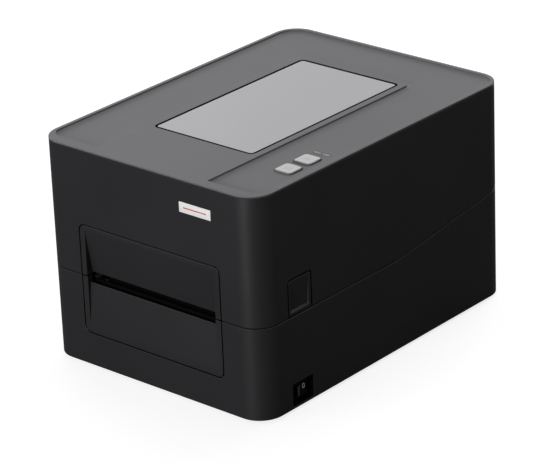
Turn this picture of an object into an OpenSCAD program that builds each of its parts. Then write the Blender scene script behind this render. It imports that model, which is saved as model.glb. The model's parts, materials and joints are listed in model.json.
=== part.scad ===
// Desktop thermal label printer with a clamshell lid.
// Frame: +Z up, front face towards -Y, origin on the table under the middle of the housing.

/* [Housing] */
// Width of the housing, left to right
body_w = 214; // [213:0.5:216]
// Depth of the housing, front to rear
body_d = 295; // [294:0.5:298]
// Height of the housing above its underside
body_h = 177.4; // [176:0.2:180]
// Radius of the four upright corners
corner_r = 20; // [18:0.5:22]
// Thickness of the moulded walls
wall = 2.5; // [2.2:0.1:2.7]
// Height of the rubber feet below the housing
foot_h = 2.6; // [2:0.2:3]
// Radius of one rubber foot
foot_r = 9; // [8:0.5:11]

/* [Seam] */
// Height of the level front part of the seam above the underside
seam_h = 74; // [73:0.5:75]
// Depth from the front face at which the seam starts to rise
seam_kink = 160; // [150:1:165]
// Rise of the seam from there to the rear face
seam_rise = 17; // [16:0.5:18]
// Width of the gap between lid and base
seam_gap = 0.9; // [0.6:0.1:1]

/* [Top] */
// Radius of the top's outer edge
edge_r = 0.6; // [0.4:0.1:0.8]
// Width of the rim from its outer edge to its inner step
rim_w = 3.4; // [3:0.1:4]
// Depth of the sunken field below the rim
field_depth = 2.2; // [1.9:0.1:2.4]
// Width of the hollow sweep between a step and the flat field
sweep_w = 6; // [4:0.5:7]
// Height of that sweep where it meets the step
sweep_h = 0.9; // [0.5:0.1:1.2]
// Width of the rim along the front edge
rim_front = 9; // [7:0.5:10]
// Half width of the raised plateau
plateau_x = 54.5; // [53:0.5:56]
// Depth of the plateau's rear end from the front face
plateau_end = 243; // [240:1:246]
// Width of the window pane
window_w = 95; // [92:0.2:97]
// Length of the window pane
window_l = 171.3; // [168:0.1:174]
// Depth of the pane's front edge from the front face
window_front = 65.7; // [63:0.1:68]
// Width of the joint round the pane
gasket_w = 1.4; // [1:0.1:1.8]

/* [Keys] */
// Distance of the keys from the middle of the top
key_x = 85.5; // [85:0.1:86]
// Depth of the front key from the front face
feed_key_depth = 62; // [61:0.5:63]
// Distance between the keys
key_pitch = 21.5; // [20:0.5:22]
// Side of one square key
key_w = 15.6; // [15:0.1:16]
// Height of the keys above the sunken field
key_proud = 1.3; // [1.1:0.1:1.6]

/* [Front bezel] */
// Width of the bezel
bezel_w = 138.2; // [137:0.2:139]
// Height of its lower edge above the underside
bezel_low = 27.5; // [26:0.5:29]
// Height of its upper edge above the underside
bezel_high = 115.4; // [114:0.2:117]
// Half width of the exit slot
slot_x = 64; // [62:0.5:64]
// Lower edge of the exit slot above the underside
slot_low = 68.2; // [67.6:0.2:68.6]
// Upper edge of the exit slot above the underside
slot_high = 75.8; // [75.4:0.2:76.2]
// Depth of the recess at the slot's upper edge
recess_high = 6; // [5:0.2:6.2]
// Depth of the recess at the slot's lower edge
recess_low = 3.2; // [2.6:0.2:4]

/* [Latch and switch] */
// Depth of the middle of a latch button from the front face
latch_depth = 44.7; // [44:0.1:45.4]
// Width of the opening for a latch button
latch_w = 27; // [26:0.2:28]
// Upper edge of that opening above the underside
latch_high = 103.8; // [102:0.2:105]
// Depth of the middle of the power switch from the front face
switch_depth = 44.5; // [43:0.5:46]
// Height of the middle of the switch above the underside
switch_h = 11; // [10.6:0.2:11.4]

/* [Print mechanism] */
// Radius of the rubber platen
platen_r = 8; // [7.6:0.1:8]
// Length of the rubber platen
platen_l = 114; // [108:1:116]
// Gap between the resting print head and the platen
nip_gap = 0.3; // [0.2:0.05:0.5]

/* [Hidden] */

$fn = 64;
eps = 0.01;
big = 400;

// Main levels and faces
front_y = -body_d / 2;
rear_y = body_d / 2;
side_x = body_w / 2;
under_z = foot_h;
floor_t = wall + 0.1;
floor_z = under_z + floor_t;
top_z = under_z + body_h;
inner_front_y = front_y + wall;
inner_side_x = side_x - wall;
function depth_y(d) = front_y + d;
function level(h) = under_z + h;

// Seam: level at the front, then one straight rise
seam_z = level(seam_h);
seam_kink_y = depth_y(seam_kink);
seam_slope = seam_rise / (body_d - seam_kink);
function seam_at(y) = seam_z + max(0, y - seam_kink_y) * seam_slope;

// Screws: shank, head and drive slots
screw_r = 1.5;
screw_head_r = 2.8;
screw_head_h = 1.8;
screw_slot_w = 0.7;
screw_slot_l = 3.4;
small_screw_r = 1.2;
small_screw_head_r = 2.2;

// Hinge axis along X
hinge_r = 9;
hinge_y = rear_y - hinge_r;
hinge_z = seam_at(hinge_y) + seam_gap / 2 + hinge_r;
hinge_pin_r = 2.5;
tower_x = 72;
tower_w = 24;
ear_w = 5;
ear_gap = 0.5;
ear_r = 8;
notch_gap = 0.9;

// Top panel levels
field_z = top_z - field_depth;
panel_under = field_z - 2;
panel_lip_z = top_z - edge_r - 0.5;
groove_h = 0.5;
groove_depth = 1.2;
shell_top_z = panel_lip_z - groove_h;
field_front_r = 12;
roof_under = panel_under - 2.4;
pane_drop = 0.2;
gasket_drop = 0.2;
plateau_r = 5;
window_mid_y = depth_y(window_front + window_l / 2);
window_r = 3;
window_ledge = 4.5;

// Keys
feed_key_y = depth_y(feed_key_depth);
pause_key_y = feed_key_y + key_pitch;
led_y = depth_y(99.3);
led_x = key_x + 0.6;
key_r = 3;
key_gap = 0.8;
key_edge = 0.4;
led_w = 15.4;
led_l = 3.2;
led_r = 1.5;
key_flange = 1;
board_t = 1.6;
key_board_z = roof_under - 10;
key_posts = [for (y = [feed_key_y - 13, led_y + 8]) [key_x, y]];

// Front bezel
bezel_z0 = level(bezel_low);
bezel_z1 = level(bezel_high);
bezel_gap = 0.9;
bezel_r = 5;
slot_z0 = level(slot_low);
slot_z1 = level(slot_high);
recess_top_z = level(111);
recess_low_z = level(34);
bezel_skin = 2.2;
flange_t = 1.9;
flange_reach = 4.6;
lip_t = 0.6;
bezel_mid_z = (bezel_z0 + bezel_z1) / 2;
bezel_screw_at = [for (x = [-1, 1], z = [bezel_z0 + 8, seam_z - 14]) [x * (bezel_w / 2 + 2.6), z]];
badge = [34, 64.1, level(151.4), level(159.5)];
badge_t = 0.6;

// Latch buttons
latch_y = depth_y(latch_depth);
latch_gap = 1;
latch_z0 = seam_z + seam_gap / 2;
latch_z1 = level(latch_high);
latch_arm_x0 = 96.5;
latch_arm_x1 = 99;
latch_barb_x = 101.3;
latch_barb_z0 = 60;
latch_barb_z1 = 65.7;
latch_arm_top = 100;
striker_x = latch_barb_x + 0.3;
striker_z = latch_barb_z1 + 0.3;
latch_seat_x = 90;
latch_seat_depth = 1.5;
latch_spring_z = level(96);

// Power switch
switch_y = depth_y(switch_depth);
switch_z = level(switch_h);
pocket_w = 22.9;
pocket_h = 18;
pocket_depth = 5;
pocket_x = side_x - pocket_depth;
pocket_wall = 2;
rocker_w = 13.2;
rocker_h = 9.2;
rocker_x = pocket_x - 2.2;
rocker_pin_r = 1;
rocker_tilt = 7;

// Print mechanism
platen_y = -127;
platen_z = 65.5;
core_r = 5;
shaft_r = 3;
bush_clear = 0.05;
bush_r = 5.5;
bush_x = 69;
plate_x = 66;
plate_t = 1.5;
plate_front_y = -137.4;
plate_rear_y = -93;
plate_out_x = plate_x + plate_t;
plate_feet = [for (x = [-59, 59], y = [-132, -100]) [x, y]];
pressure = 20;
backlash = 0.12;
addendum = 0.8;
dedendum = 1.15;
gear_m = 0.7;
pinion_n = 12;
idler_n = 36;
idler_small_n = 16;
platen_n = 36;
idler_angle = -50;
motor_angle = -75;
function gear_pitch_r(n) = n * gear_m / 2;
idler_dist = gear_pitch_r(platen_n) + gear_pitch_r(idler_small_n);
motor_dist = gear_pitch_r(idler_n) + gear_pitch_r(pinion_n);
idler_y = platen_y + idler_dist * cos(idler_angle);
idler_z = platen_z + idler_dist * sin(idler_angle);
motor_y = idler_y + motor_dist * cos(motor_angle);
motor_z = idler_z + motor_dist * sin(motor_angle);
gear_b_x = [-78.8, -74.3];
gear_a_x = [-73.5, -69.6];
stud_r = 2;
motor_shaft_r = 2.5;
motor_side = 35;
motor_l = 28;
motor_pilot_r = 11;
motor_screw_at = [for (y = [-13, 13], z = [-13, 13]) [motor_y + y, motor_z + z]];
head_z = platen_z + platen_r + nip_gap;
strip_t = 0.8;
head_top_z = 79;
head_front_y = -134;
head_spring_x = 38;
head_spring_y = -118;
pivot_y = -98;
pivot_z = 85;
pivot_r = 2;
bracket_z = 91;
bracket_t = 1.5;
ear_x = 61.5;
shelf_z = bracket_z + bracket_t;
shelf_t = 2.5;
frame_top = bezel_z1 + flange_reach + 0.8;
frame_x = 86;
frame_front_y = -138;
frame_screw_at = [for (x = [-80, -40, 40, 80]) [x, 140]];
bracket_screw_at = [for (x = [-50, 50]) [x, -105]];

// Media bay
bay_y = 5;
bay_z = 88;
tray_x = 94;
tray_t = 2;
tray_floor = 24;
tray_under = tray_floor - tray_t;
rack_m = 1;
rack_pinion_n = 16;
rack_pitch_r = rack_m * rack_pinion_n / 2;
rack_z0 = tray_under - 4.5;
rack_z1 = tray_under - 0.5;
holder_x = 57.5;
holder_t = 3;
holder_travel = 45;
holder_lift = 0.4;
holder_half = 26;
neck_y = 11.5;
neck_w = 3;
neck_l = 3.6;
slot_clear = 0.6;
hub_pin_r = 3;
sensor_y = -103;
sensor_rail_z = 64;
rail_r = 1.5;
rail_x = 53;
board_z = 9;

// Posts, feet and rear openings
feet_at = [for (x = [-1, 1], y = [-1, 1]) [x * (side_x - 24), y * (rear_y - 26)]];
tray_posts = [for (x = [-84, 84], y = [-50, 62]) [x, y]];
board_posts = [for (x = [-69, 69], y = [56, 127]) [x, y]];
jack_x = -50;
jack_w = 9.8;
usb_x = -20;
usb_w = 12;
port_z0 = board_z + board_t;
port_h = 11;
port_gap = 0.2;
port_y = rear_y - 0.8;
feed_slot_w = 112;
feed_slot_h = 7;
feed_slot_z = 83.5;

// Colours
black = "#2a2a2b";
side_black = "#1b1b1c";
top_grey = "#78787a";
pane_grey = "#b1b1b3";
key_grey = "#c3c3c3";
steel = "#a9adb0";

// ---------- shared shapes ----------

// Flat rounded rectangle, centred
module rounded(w, h, r) {
    square([w - 2 * r, h], center = true);
    square([w, h - 2 * r], center = true);
    for (x = [-1, 1], y = [-1, 1])
        translate([x * (w / 2 - r), y * (h / 2 - r)]) circle(r);
}

// Upright block with rounded corners, from z0 to z1
module slab(w, d, r, z0, z1) {
    translate([0, 0, z0]) linear_extrude(z1 - z0) rounded(w, d, r);
}

// Ring of round bars that follows a rounded rectangle
module edge_bars(w, d, r, bar, z) {
    for (s = [-1, 1]) {
        rod_y(bar, -d / 2 + r, d / 2 - r, s * w / 2, z);
        rod_x(bar, -w / 2 + r, w / 2 - r, s * d / 2, z);
    }
    for (q = [0:3]) {
        cx = (q == 0 || q == 3 ? 1 : -1) * (w / 2 - r);
        cy = (q < 2 ? 1 : -1) * (d / 2 - r);
        translate([cx, cy, z]) rotate(q * 90) rotate_extrude(angle = 90) translate([r, 0]) circle(bar);
    }
}

// Plain block between two corners
module block(a, b) {
    translate(a) cube(b - a);
}

// The same block on both sides of the middle plane
module both_sides() {
    children();
    mirror([1, 0, 0]) children();
}

// Outline drawn in (y, z), extruded along X
module along_x(x0, x1) {
    translate([x0, 0, 0]) rotate([90, 0, 90]) linear_extrude(x1 - x0) children();
}

// Outline drawn in (x, z), extruded along Y
module along_y(y0, y1) {
    translate([0, y1, 0]) rotate([90, 0, 0]) linear_extrude(y1 - y0) children();
}

// Round bar along X
module rod_x(r, x0, x1, y, z) {
    translate([x0, y, z]) rotate([0, 90, 0]) cylinder(h = x1 - x0, r = r);
}

// Round bar along Y
module rod_y(r, y0, y1, x, z) {
    translate([x, y1, z]) rotate([90, 0, 0]) cylinder(h = y1 - y0, r = r);
}

// Round bar along Z
module rod_z(r, z0, z1, x, y) {
    translate([x, y, z0]) cylinder(h = z1 - z0, r = r);
}

// Screw with its head upwards; the head's underside is at z
module screw_z(x, y, z, shank) {
    difference() {
        rod_z(screw_head_r, z, z + screw_head_h, x, y);
        for (a = [0, 90]) translate([x, y, z + screw_head_h]) rotate(a)
            cube([screw_slot_l, screw_slot_w, screw_head_h], center = true);
    }
    rod_z(screw_r, z - shank, z + eps, x, y);
}

// Screw along +X; its head's inner face is at x
module screw_x(x, y, z, shank) {
    rod_x(screw_head_r, x - screw_head_h, x, y, z);
    rod_x(screw_r, x - eps, x + shank, y, z);
}

// Involute of a base circle: polar angle at radius r
function involute_angle(rb, r) = sqrt(pow(r / rb, 2) - 1) * 180 / PI - atan(sqrt(pow(r / rb, 2) - 1));

// Outline of a spur gear with one tooth centred on the angle phase
function gear_outline(n, m, phase) =
    let (rp = n * m / 2,
         rb = rp * cos(pressure),
         ra = rp + addendum * m,
         rr = rp - dedendum * m,
         half = 90 / n - backlash / rp * 90 / PI + involute_angle(rb, rp),
         r0 = max(rb, rr) + 0.001,
         radii = [for (i = [0:3]) r0 + (ra - r0) * i / 3])
    [for (k = [0:n - 1])
        let (a = phase + 360 * k / n)
        each concat(
            [polar(rr, a - half + involute_angle(rb, r0))],
            [for (r = radii) polar(r, a - half + involute_angle(rb, r))],
            [for (i = [3:-1:0]) polar(radii[i], a + half - involute_angle(rb, radii[i]))],
            [polar(rr, a + half - involute_angle(rb, r0))])];
function polar(r, a) = [r * cos(a), r * sin(a)];

// Spur gear round an X axis
module gear_x(n, x0, x1, y, z, phase) {
    translate([0, y, z]) along_x(x0, x1) polygon(gear_outline(n, gear_m, phase));
}

// Coil spring between two levels, wound about Z
module coil(r, wire, length, turns) {
    sides = 6;
    steps = 12;
    n = turns * steps;
    rings = [for (i = [0:n]) [for (j = [0:sides - 1])
        let (a = 360 * i / steps, b = 360 * j / sides)
        [(r + wire * cos(b)) * cos(a), (r + wire * cos(b)) * sin(a),
            wire + (length - 2 * wire) * i / n + wire * sin(b)]]];
    faces = concat(
        [[for (j = [sides - 1:-1:0]) j]],
        [for (i = [0:n - 1], j = [0:sides - 1])
            let (p = i * sides, k = (j + 1) % sides) [p + j, p + k, p + sides + k, p + sides + j]],
        [[for (j = [0:sides - 1]) n * sides + j]]);
    outward = [for (f = faces) [for (i = [len(f) - 1:-1:0]) f[i]]];
    polyhedron([for (ring = rings) each ring], outward, convexity = 4);
}

// ---------- base ----------

// Everything above the seam on the base's side
module above_base() {
    cap = hinge_z - hinge_r - seam_gap;
    along_x(-big, big) polygon([
        [-big, seam_z - seam_gap / 2], [seam_kink_y, seam_z - seam_gap / 2],
        [hinge_y, cap], [big, cap], [big, big], [-big, big]]);
}

// Everything below the seam on the lid's side
module below_lid() {
    along_x(-big, big) polygon([
        [-big, seam_z + seam_gap / 2], [seam_kink_y, seam_z + seam_gap / 2],
        [big, seam_at(big) + seam_gap / 2], [big, -big], [-big, -big]]);
}

// Bearing block that stands on the rear wall
module hinge_tower() along_x(tower_x - tower_w / 2, tower_x + tower_w / 2) difference() {
    foot_z = 64;
    brace_z = 84;
    union() {
        translate([hinge_y, hinge_z]) circle(hinge_r);
        polygon([[rear_y - wall - 0.5, foot_z], [rear_y, foot_z], [rear_y, hinge_z],
            [hinge_y - hinge_r, hinge_z], [hinge_y - hinge_r, brace_z]]);
    }
    translate([hinge_y, hinge_z]) circle(hinge_pin_r + bush_clear);
}

// Opening for the bezel, cut through the front walls of base and lid
module bezel_opening() along_y(front_y - 1, inner_front_y + eps) translate([0, bezel_mid_z])
    rounded(bezel_w + 2 * bezel_gap, bezel_z1 - bezel_z0 + 2 * bezel_gap, bezel_r + bezel_gap);

// Block round the power switch, and the recess in it
module switch_pocket() block(
    [pocket_x - pocket_wall, switch_y - pocket_w / 2 - pocket_wall, under_z + 1],
    [inner_side_x + eps, switch_y + pocket_w / 2 + pocket_wall, switch_z + pocket_h / 2 + pocket_wall]);

module switch_recess() {
    gap = 0.6;
    block([pocket_x, switch_y - pocket_w / 2, switch_z - pocket_h / 2],
        [side_x + 1, switch_y + pocket_w / 2, switch_z + pocket_h / 2]);
    block([pocket_x - pocket_wall - 1, switch_y - rocker_w / 2 - gap, switch_z - rocker_h / 2 - gap],
        [pocket_x + 1, switch_y + rocker_w / 2 + gap, switch_z + rocker_h / 2 + gap]);
}

// Ledge that the barb of a latch catches under
module striker() {
    half = 9;
    lip_z = striker_z + 4;
    root_z = striker_z + 7;
    along_y(latch_y - half, latch_y + half) polygon([[striker_x, striker_z],
        [inner_side_x + eps, striker_z], [inner_side_x + eps, root_z], [striker_x, lip_z]]);
}

// Rear openings: two ports and the slot for fan-fold stock
module port_opening(x, w) block([x - w / 2 - port_gap, rear_y - wall - 1, port_z0 - port_gap],
    [x + w / 2 + port_gap, rear_y + 1, port_z0 + port_h + port_gap]);

module rear_openings() {
    port_opening(jack_x, jack_w);
    port_opening(usb_x, usb_w);
    along_y(rear_y - wall - 1, rear_y + 1) translate([0, feed_slot_z])
        rounded(feed_slot_w, feed_slot_h, 1.5);
}

// Seats of the feet, screw holes and vents in the floor
module floor_openings() {
    for (p = feet_at) rod_z(foot_r, under_z - 1, under_z + 1, p[0], p[1]);
    for (p = tray_posts) rod_z(screw_r, tray_under - 9, tray_floor, p[0], p[1]);
    for (p = board_posts) rod_z(screw_r, floor_z + 0.4, board_z + 1, p[0], p[1]);
    for (p = plate_feet) rod_z(screw_r, under_z + 0.6, floor_z + 1, p[0], p[1]);
    for (x = [-40:10:40]) translate([x, 90, 0]) linear_extrude(floor_z + 1) rounded(3, 40, 1.4);
}

module base_tub() color(side_black) difference() {
    rib_top = 74;
    rib_reach = 6;
    union() {
        difference() {
            slab(body_w, body_d, corner_r, under_z, seam_at(rear_y));
            slab(body_w - 2 * wall, body_d - 2 * wall, corner_r - wall, floor_z, big);
            above_base();
        }
        both_sides() {
            hinge_tower();
            striker();
        }
        switch_pocket();
        // stiffening ribs under the rear slot
        for (x = [-30, 0, 30]) block([x - 1, rear_y - wall - rib_reach, floor_z - eps],
            [x + 1, rear_y - wall + eps, rib_top]);
        for (p = tray_posts) rod_z(4.5, floor_z - eps, tray_under, p[0], p[1]);
        for (p = board_posts) rod_z(3.6, floor_z - eps, board_z, p[0], p[1]);
        // ring over the seat of each foot
        for (p = feet_at) rod_z(foot_r + 2.4, floor_z - eps, floor_z + 1.2, p[0], p[1]);
    }
    bezel_opening();
    switch_recess();
    rear_openings();
    floor_openings();
    for (p = bezel_screw_at) rod_y(screw_r, front_y + 0.5, inner_front_y + 1, p[0], p[1]);
}

module rubber_feet() color("#222222") {
    chamfer = 0.8;
    for (p = feet_at) {
        rod_z(foot_r, chamfer, under_z + 1, p[0], p[1]);
        translate([p[0], p[1], 0]) cylinder(h = chamfer, r1 = foot_r - chamfer, r2 = foot_r);
    }
}

// Half of the bezel between two levels; the recess slopes back to its depth at the slot's edge
module bezel_half(z0, z1, slope_z, slot_edge, depth) {
    sgn = slope_z < slot_edge ? 1 : -1;
    rise = (slot_edge - slope_z) / depth;
    beyond = slot_edge + sgn * 20;
    hollow_z = slope_z - sgn * 3;
    lip_z = slot_edge - sgn * 0.1;
    lip_y = front_y + depth;
    back_y = lip_y + bezel_skin;
    difference() {
        intersection() {
            union() {
                along_y(front_y, back_y) translate([0, bezel_mid_z])
                    rounded(bezel_w, bezel_z1 - bezel_z0, bezel_r);
                along_y(inner_front_y, inner_front_y + flange_t) translate([0, bezel_mid_z])
                    rounded(bezel_w + 2 * flange_reach, bezel_z1 - bezel_z0 + 2 * flange_reach, bezel_r);
            }
            block([-big, -big, z0], [big, big, z1]);
        }
        // sloping face of the recess and the slot, whose edge falls away behind its lip
        along_x(-slot_x, slot_x) polygon([
            [front_y - 1, slope_z - rise], [lip_y, slot_edge], [lip_y + lip_t, slot_edge],
            [back_y + 1, slot_edge - sgn * (bezel_skin + 1 - lip_t)],
            [back_y + 1, beyond], [front_y - 1, beyond]]);
        // hollow behind the sloping face
        along_x(-slot_x + bezel_skin, slot_x - bezel_skin) polygon([
            [front_y + bezel_skin, slope_z], [front_y + bezel_skin, hollow_z],
            [back_y + 1, hollow_z], [back_y + 1, lip_z], [back_y - 0.05, lip_z]]);
    }
}

module lower_front_bezel() color(black) difference() {
    bezel_half(bezel_z0 - flange_reach, seam_z - seam_gap / 2, recess_low_z, slot_z0, recess_low);
    for (p = bezel_screw_at) rod_y(screw_r, front_y - 1, inner_front_y + 6, p[0], p[1]);
}

module bezel_screws() color(steel) {
    head_y = inner_front_y + flange_t;
    for (p = bezel_screw_at) {
        rod_y(screw_r, front_y + 0.5, head_y + eps, p[0], p[1]);
        rod_y(2.4, head_y, head_y + 1.5, p[0], p[1]);
    }
}

// ---------- print mechanism ----------

module side_plate() {
    flange_w = 12;
    along_x(plate_x, plate_out_x) polygon([
        [plate_front_y, floor_z], [plate_front_y, 74], [plate_front_y + 2, 76], [-120, 76], [-118, 74],
        [-118, 67.5], [plate_rear_y - 2, 67.5], [plate_rear_y, 65.5], [plate_rear_y, floor_z]]);
    block([plate_x - flange_w, plate_front_y, floor_z], [plate_x + eps, plate_rear_y, floor_z + plate_t]);
}

// Hole through a side plate, drawn for the right one
module plate_hole(r, y, z) rod_x(r, plate_x - 1, plate_out_x + 1, y, z);

module plate_holes() {
    for (p = plate_feet) rod_z(screw_r, floor_z - 1, floor_z + 3, p[0], p[1]);
}

module left_side_plate() color(steel) difference() {
    mirror([1, 0, 0]) difference() {
        side_plate();
        plate_hole(bush_r, platen_y, platen_z);
        plate_hole(stud_r, idler_y, idler_z);
        plate_hole(motor_pilot_r, motor_y, motor_z);
        for (p = motor_screw_at) plate_hole(screw_r, p[0], p[1]);
    }
    plate_holes();
}

module right_side_plate() color(steel) difference() {
    side_plate();
    plate_hole(bush_r, platen_y, platen_z);
    // lightening hole
    plate_hole(9, -115, 40);
    plate_holes();
}

module plate_screws() color(steel)
    for (p = plate_feet) screw_z(p[0], p[1], floor_z + plate_t, plate_t + wall - 0.5);

// Saw-toothed cutting edge
module tear_bar() color("#202021") {
    pitch = 2;
    n = 33;
    half = n * pitch;
    foot_z = 58;
    root_z = 71;
    tip_z = 72.4;
    front = plate_front_y - plate_t;
    teeth = [for (i = [2 * n - 1:-1:-2 * n + 1]) [i * pitch / 2, i % 2 == 0 ? root_z : tip_z]];
    along_y(front, plate_front_y)
        polygon(concat([[half, foot_z], [half, root_z]], teeth, [[-half, root_z], [-half, foot_z]]));
    both_sides() block([plate_x - 0.5, front, foot_z - 1], [plate_out_x, plate_front_y, root_z - 1]);
}

module platen_bushes() color("#8c8f92") both_sides() difference() {
    union() {
        rod_x(bush_r, plate_x - eps, bush_x, platen_y, platen_z);
        rod_x(bush_r + 1.5, plate_x - 1.5, plate_x, platen_y, platen_z);
    }
    rod_x(shaft_r + bush_clear, plate_x - 3, bush_x + 1, platen_y, platen_z);
}

module platen_roller() color("#26282a") difference() {
    rod_x(platen_r, -platen_l / 2, platen_l / 2, platen_y, platen_z);
    rod_x(core_r, -platen_l, platen_l, platen_y, platen_z);
}

module platen_shaft() color(steel) {
    rod_x(core_r, -platen_l / 2 - 1.5, platen_l / 2 + 1.5, platen_y, platen_z);
    rod_x(shaft_r, gear_b_x[0] - 1, bush_x + 2, platen_y, platen_z);
}

module platen_gear() color("#e4e1d8") difference() {
    hub_r = 4.5;
    hole_r = 1.8;
    hole_circle = 8;
    union() {
        gear_x(platen_n, gear_b_x[0], gear_b_x[1], platen_y, platen_z, idler_angle);
        rod_x(hub_r, gear_b_x[1] - eps, gear_b_x[1] + 2, platen_y, platen_z);
    }
    rod_x(shaft_r, -big, 0, platen_y, platen_z);
    for (a = [30:60:330])
        translate([0, platen_y, platen_z]) rotate([a, 0, 0]) rod_x(hole_r, -big, 0, hole_circle, 0);
}

module idler_gear() color("#e4e1d8") difference() {
    union() {
        gear_x(idler_small_n, gear_b_x[0], gear_a_x[0] + eps, idler_y, idler_z,
            idler_angle + 180 + 180 / idler_small_n);
        gear_x(idler_n, gear_a_x[0], gear_a_x[1], idler_y, idler_z, motor_angle);
    }
    rod_x(stud_r + bush_clear, -big, 0, idler_y, idler_z);
}

module idler_stud() color(steel) {
    cap_x = gear_b_x[0] - 2.2;
    shoulder_x = gear_a_x[1] + 0.4;
    rod_x(stud_r, cap_x + 0.8, -plate_x, idler_y, idler_z);
    rod_x(3.2, shoulder_x, -plate_out_x, idler_y, idler_z);
    rod_x(3, cap_x, cap_x + 1.6, idler_y, idler_z);
}

module stepper_motor() color("#3a3b3d") difference() {
    plug_y = motor_y + motor_side / 2;
    union() {
        difference() {
            translate([-plate_x, motor_y, motor_z]) rotate([0, 90, 0]) linear_extrude(motor_l)
                intersection() {
                    square(motor_side, center = true);
                    circle(motor_side * 0.64);
                }
            for (p = motor_screw_at) rod_x(screw_r, -plate_x - 1, -plate_x + 5, p[0], p[1]);
        }
        rod_x(motor_pilot_r, -plate_out_x, -plate_x + eps, motor_y, motor_z);
        block([-plate_x + 8, plug_y - eps, motor_z - 6], [-plate_x + 24, plug_y + 4, motor_z + 6]);
    }
    rod_x(motor_shaft_r + bush_clear, -big, -plate_x + 20, motor_y, motor_z);
}

module motor_screws() color(steel)
    for (p = motor_screw_at) screw_x(-plate_out_x, p[0], p[1], plate_t + 4);

module motor_shaft() color("#c8ccd0")
    rod_x(motor_shaft_r, gear_a_x[0] - 0.6, -plate_x + 19, motor_y, motor_z);

module motor_pinion() color("#c9a24a") difference() {
    gear_x(pinion_n, gear_a_x[0] + 0.1, gear_a_x[1], motor_y, motor_z,
        motor_angle + 180 + 180 / pinion_n);
    rod_x(motor_shaft_r, -big, 0, motor_y, motor_z);
}

// ---------- media bay ----------

// Upper and lower line of the tray's profile, front to rear, in (y, z)
tray_top = [[-116, 71], [-89, 71], [-63, tray_floor], [73, tray_floor], [117, 66], [126, 66]];
tray_low = [[-116, 69], [-90.2, 69], [-64.2, tray_under], [73.9, tray_under], [117.9, 64], [126, 64]];

// Slot in the tray's floor in which the neck of a holder travels; dir points inwards
module holder_slot(dir) {
    x0 = -dir * (holder_x + neck_l + slot_clear);
    x1 = x0 + dir * (holder_travel + neck_l + 2 * slot_clear);
    y = bay_y - dir * neck_y;
    half = neck_w / 2 + 0.5;
    block([min(x0, x1), y - half, 0], [max(x0, x1), y + half, 30]);
}
module media_tray() color("#252526") difference() {
    side_top = 72;
    guide_y = 15;
    guide_x = 70;
    pinion_boss_r = 5;
    union() {
        along_x(-tray_x, tray_x) polygon(concat(tray_top, [for (i = [5:-1:0]) tray_low[i]]));
        both_sides() along_x(tray_x - tray_t, tray_x)
            polygon(concat(tray_low, [[126, side_top], [-116, side_top]]));
        // rack guides and the pinion's stud
        for (s = [-1, 1]) block([-guide_x, bay_y + s * guide_y - 1, rack_z0],
            [guide_x, bay_y + s * guide_y + 1, tray_floor - 1]);
        rod_z(hub_pin_r, rack_z0, tray_under + eps, 0, bay_y);
        rod_z(pinion_boss_r, rack_z1 + 0.2, tray_under + eps, 0, bay_y);
        // rail hangers for the sensor
        both_sides() block([rail_x - 3, sensor_y - 4, sensor_rail_z - 3.5],
            [rail_x, sensor_y + 4, tray_low[0][1] + eps]);
        // guide ribs on the sloping front wall
        for (x = [-75:30:75]) along_x(x - 1, x + 1)
            polygon([[-90, 70], [-88, 72.4], [-61, tray_floor + 0.4], [-63, tray_floor - 1]]);
    }
    for (dir = [-1, 1]) holder_slot(dir);
    rod_z(screw_r, 0, rack_z0 + 3.6, 0, bay_y);
    // clearance round the platen gear
    block([gear_b_x[0] - 3, -117, 60], [gear_b_x[1] + 4, -112, 80]);
    // slot over the sensor
    block([-38, sensor_y - 2.6, 60], [38, sensor_y + 2.6, 80]);
    both_sides() rod_x(rail_r, rail_x - 4, rail_x + 1, sensor_y, sensor_rail_z);
    for (p = tray_posts) rod_z(screw_r, 0, 30, p[0], p[1]);
}

module tray_screws() color(steel)
    for (p = tray_posts) screw_z(p[0], p[1], tray_floor, 8);

module sensor_rail() color(steel) rod_x(rail_r, -rail_x, rail_x, sensor_y, sensor_rail_z);

module gap_sensor() color("#171718") difference() {
    nose_top = 70.7;
    union() {
        block([-8, sensor_y - 5.5, 61], [8, sensor_y + 5.5, 68.4]);
        block([-5, sensor_y - 2.2, 68], [5, sensor_y + 2.2, nose_top]);
    }
    rod_x(rail_r + bush_clear, -9, 9, sensor_y, sensor_rail_z);
    for (x = [-2, 2]) rod_z(1.2, nose_top - 1.2, nose_top + 1, x, sensor_y);
}

// Rack bar drawn in (x, y): teeth towards +Y on the pitch line
function rack_outline(k0, k1, x_end) =
    let (p = PI * rack_m,
         a = addendum * rack_m,
         d = dedendum * rack_m,
         w = p / 4 - backlash / 2,
         t = tan(pressure),
         back = -5)
    concat([[x_end, back], [(k1 + 1) * p, back], [(k1 + 1) * p, -d]],
        [for (k = [k1:-1:k0]) let (c = (k + 0.5) * p)
            each [[c + w + d * t, -d], [c + w - a * t, a], [c - w + a * t, a], [c - w - d * t, -d]]],
        [[x_end, -d]]);

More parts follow.
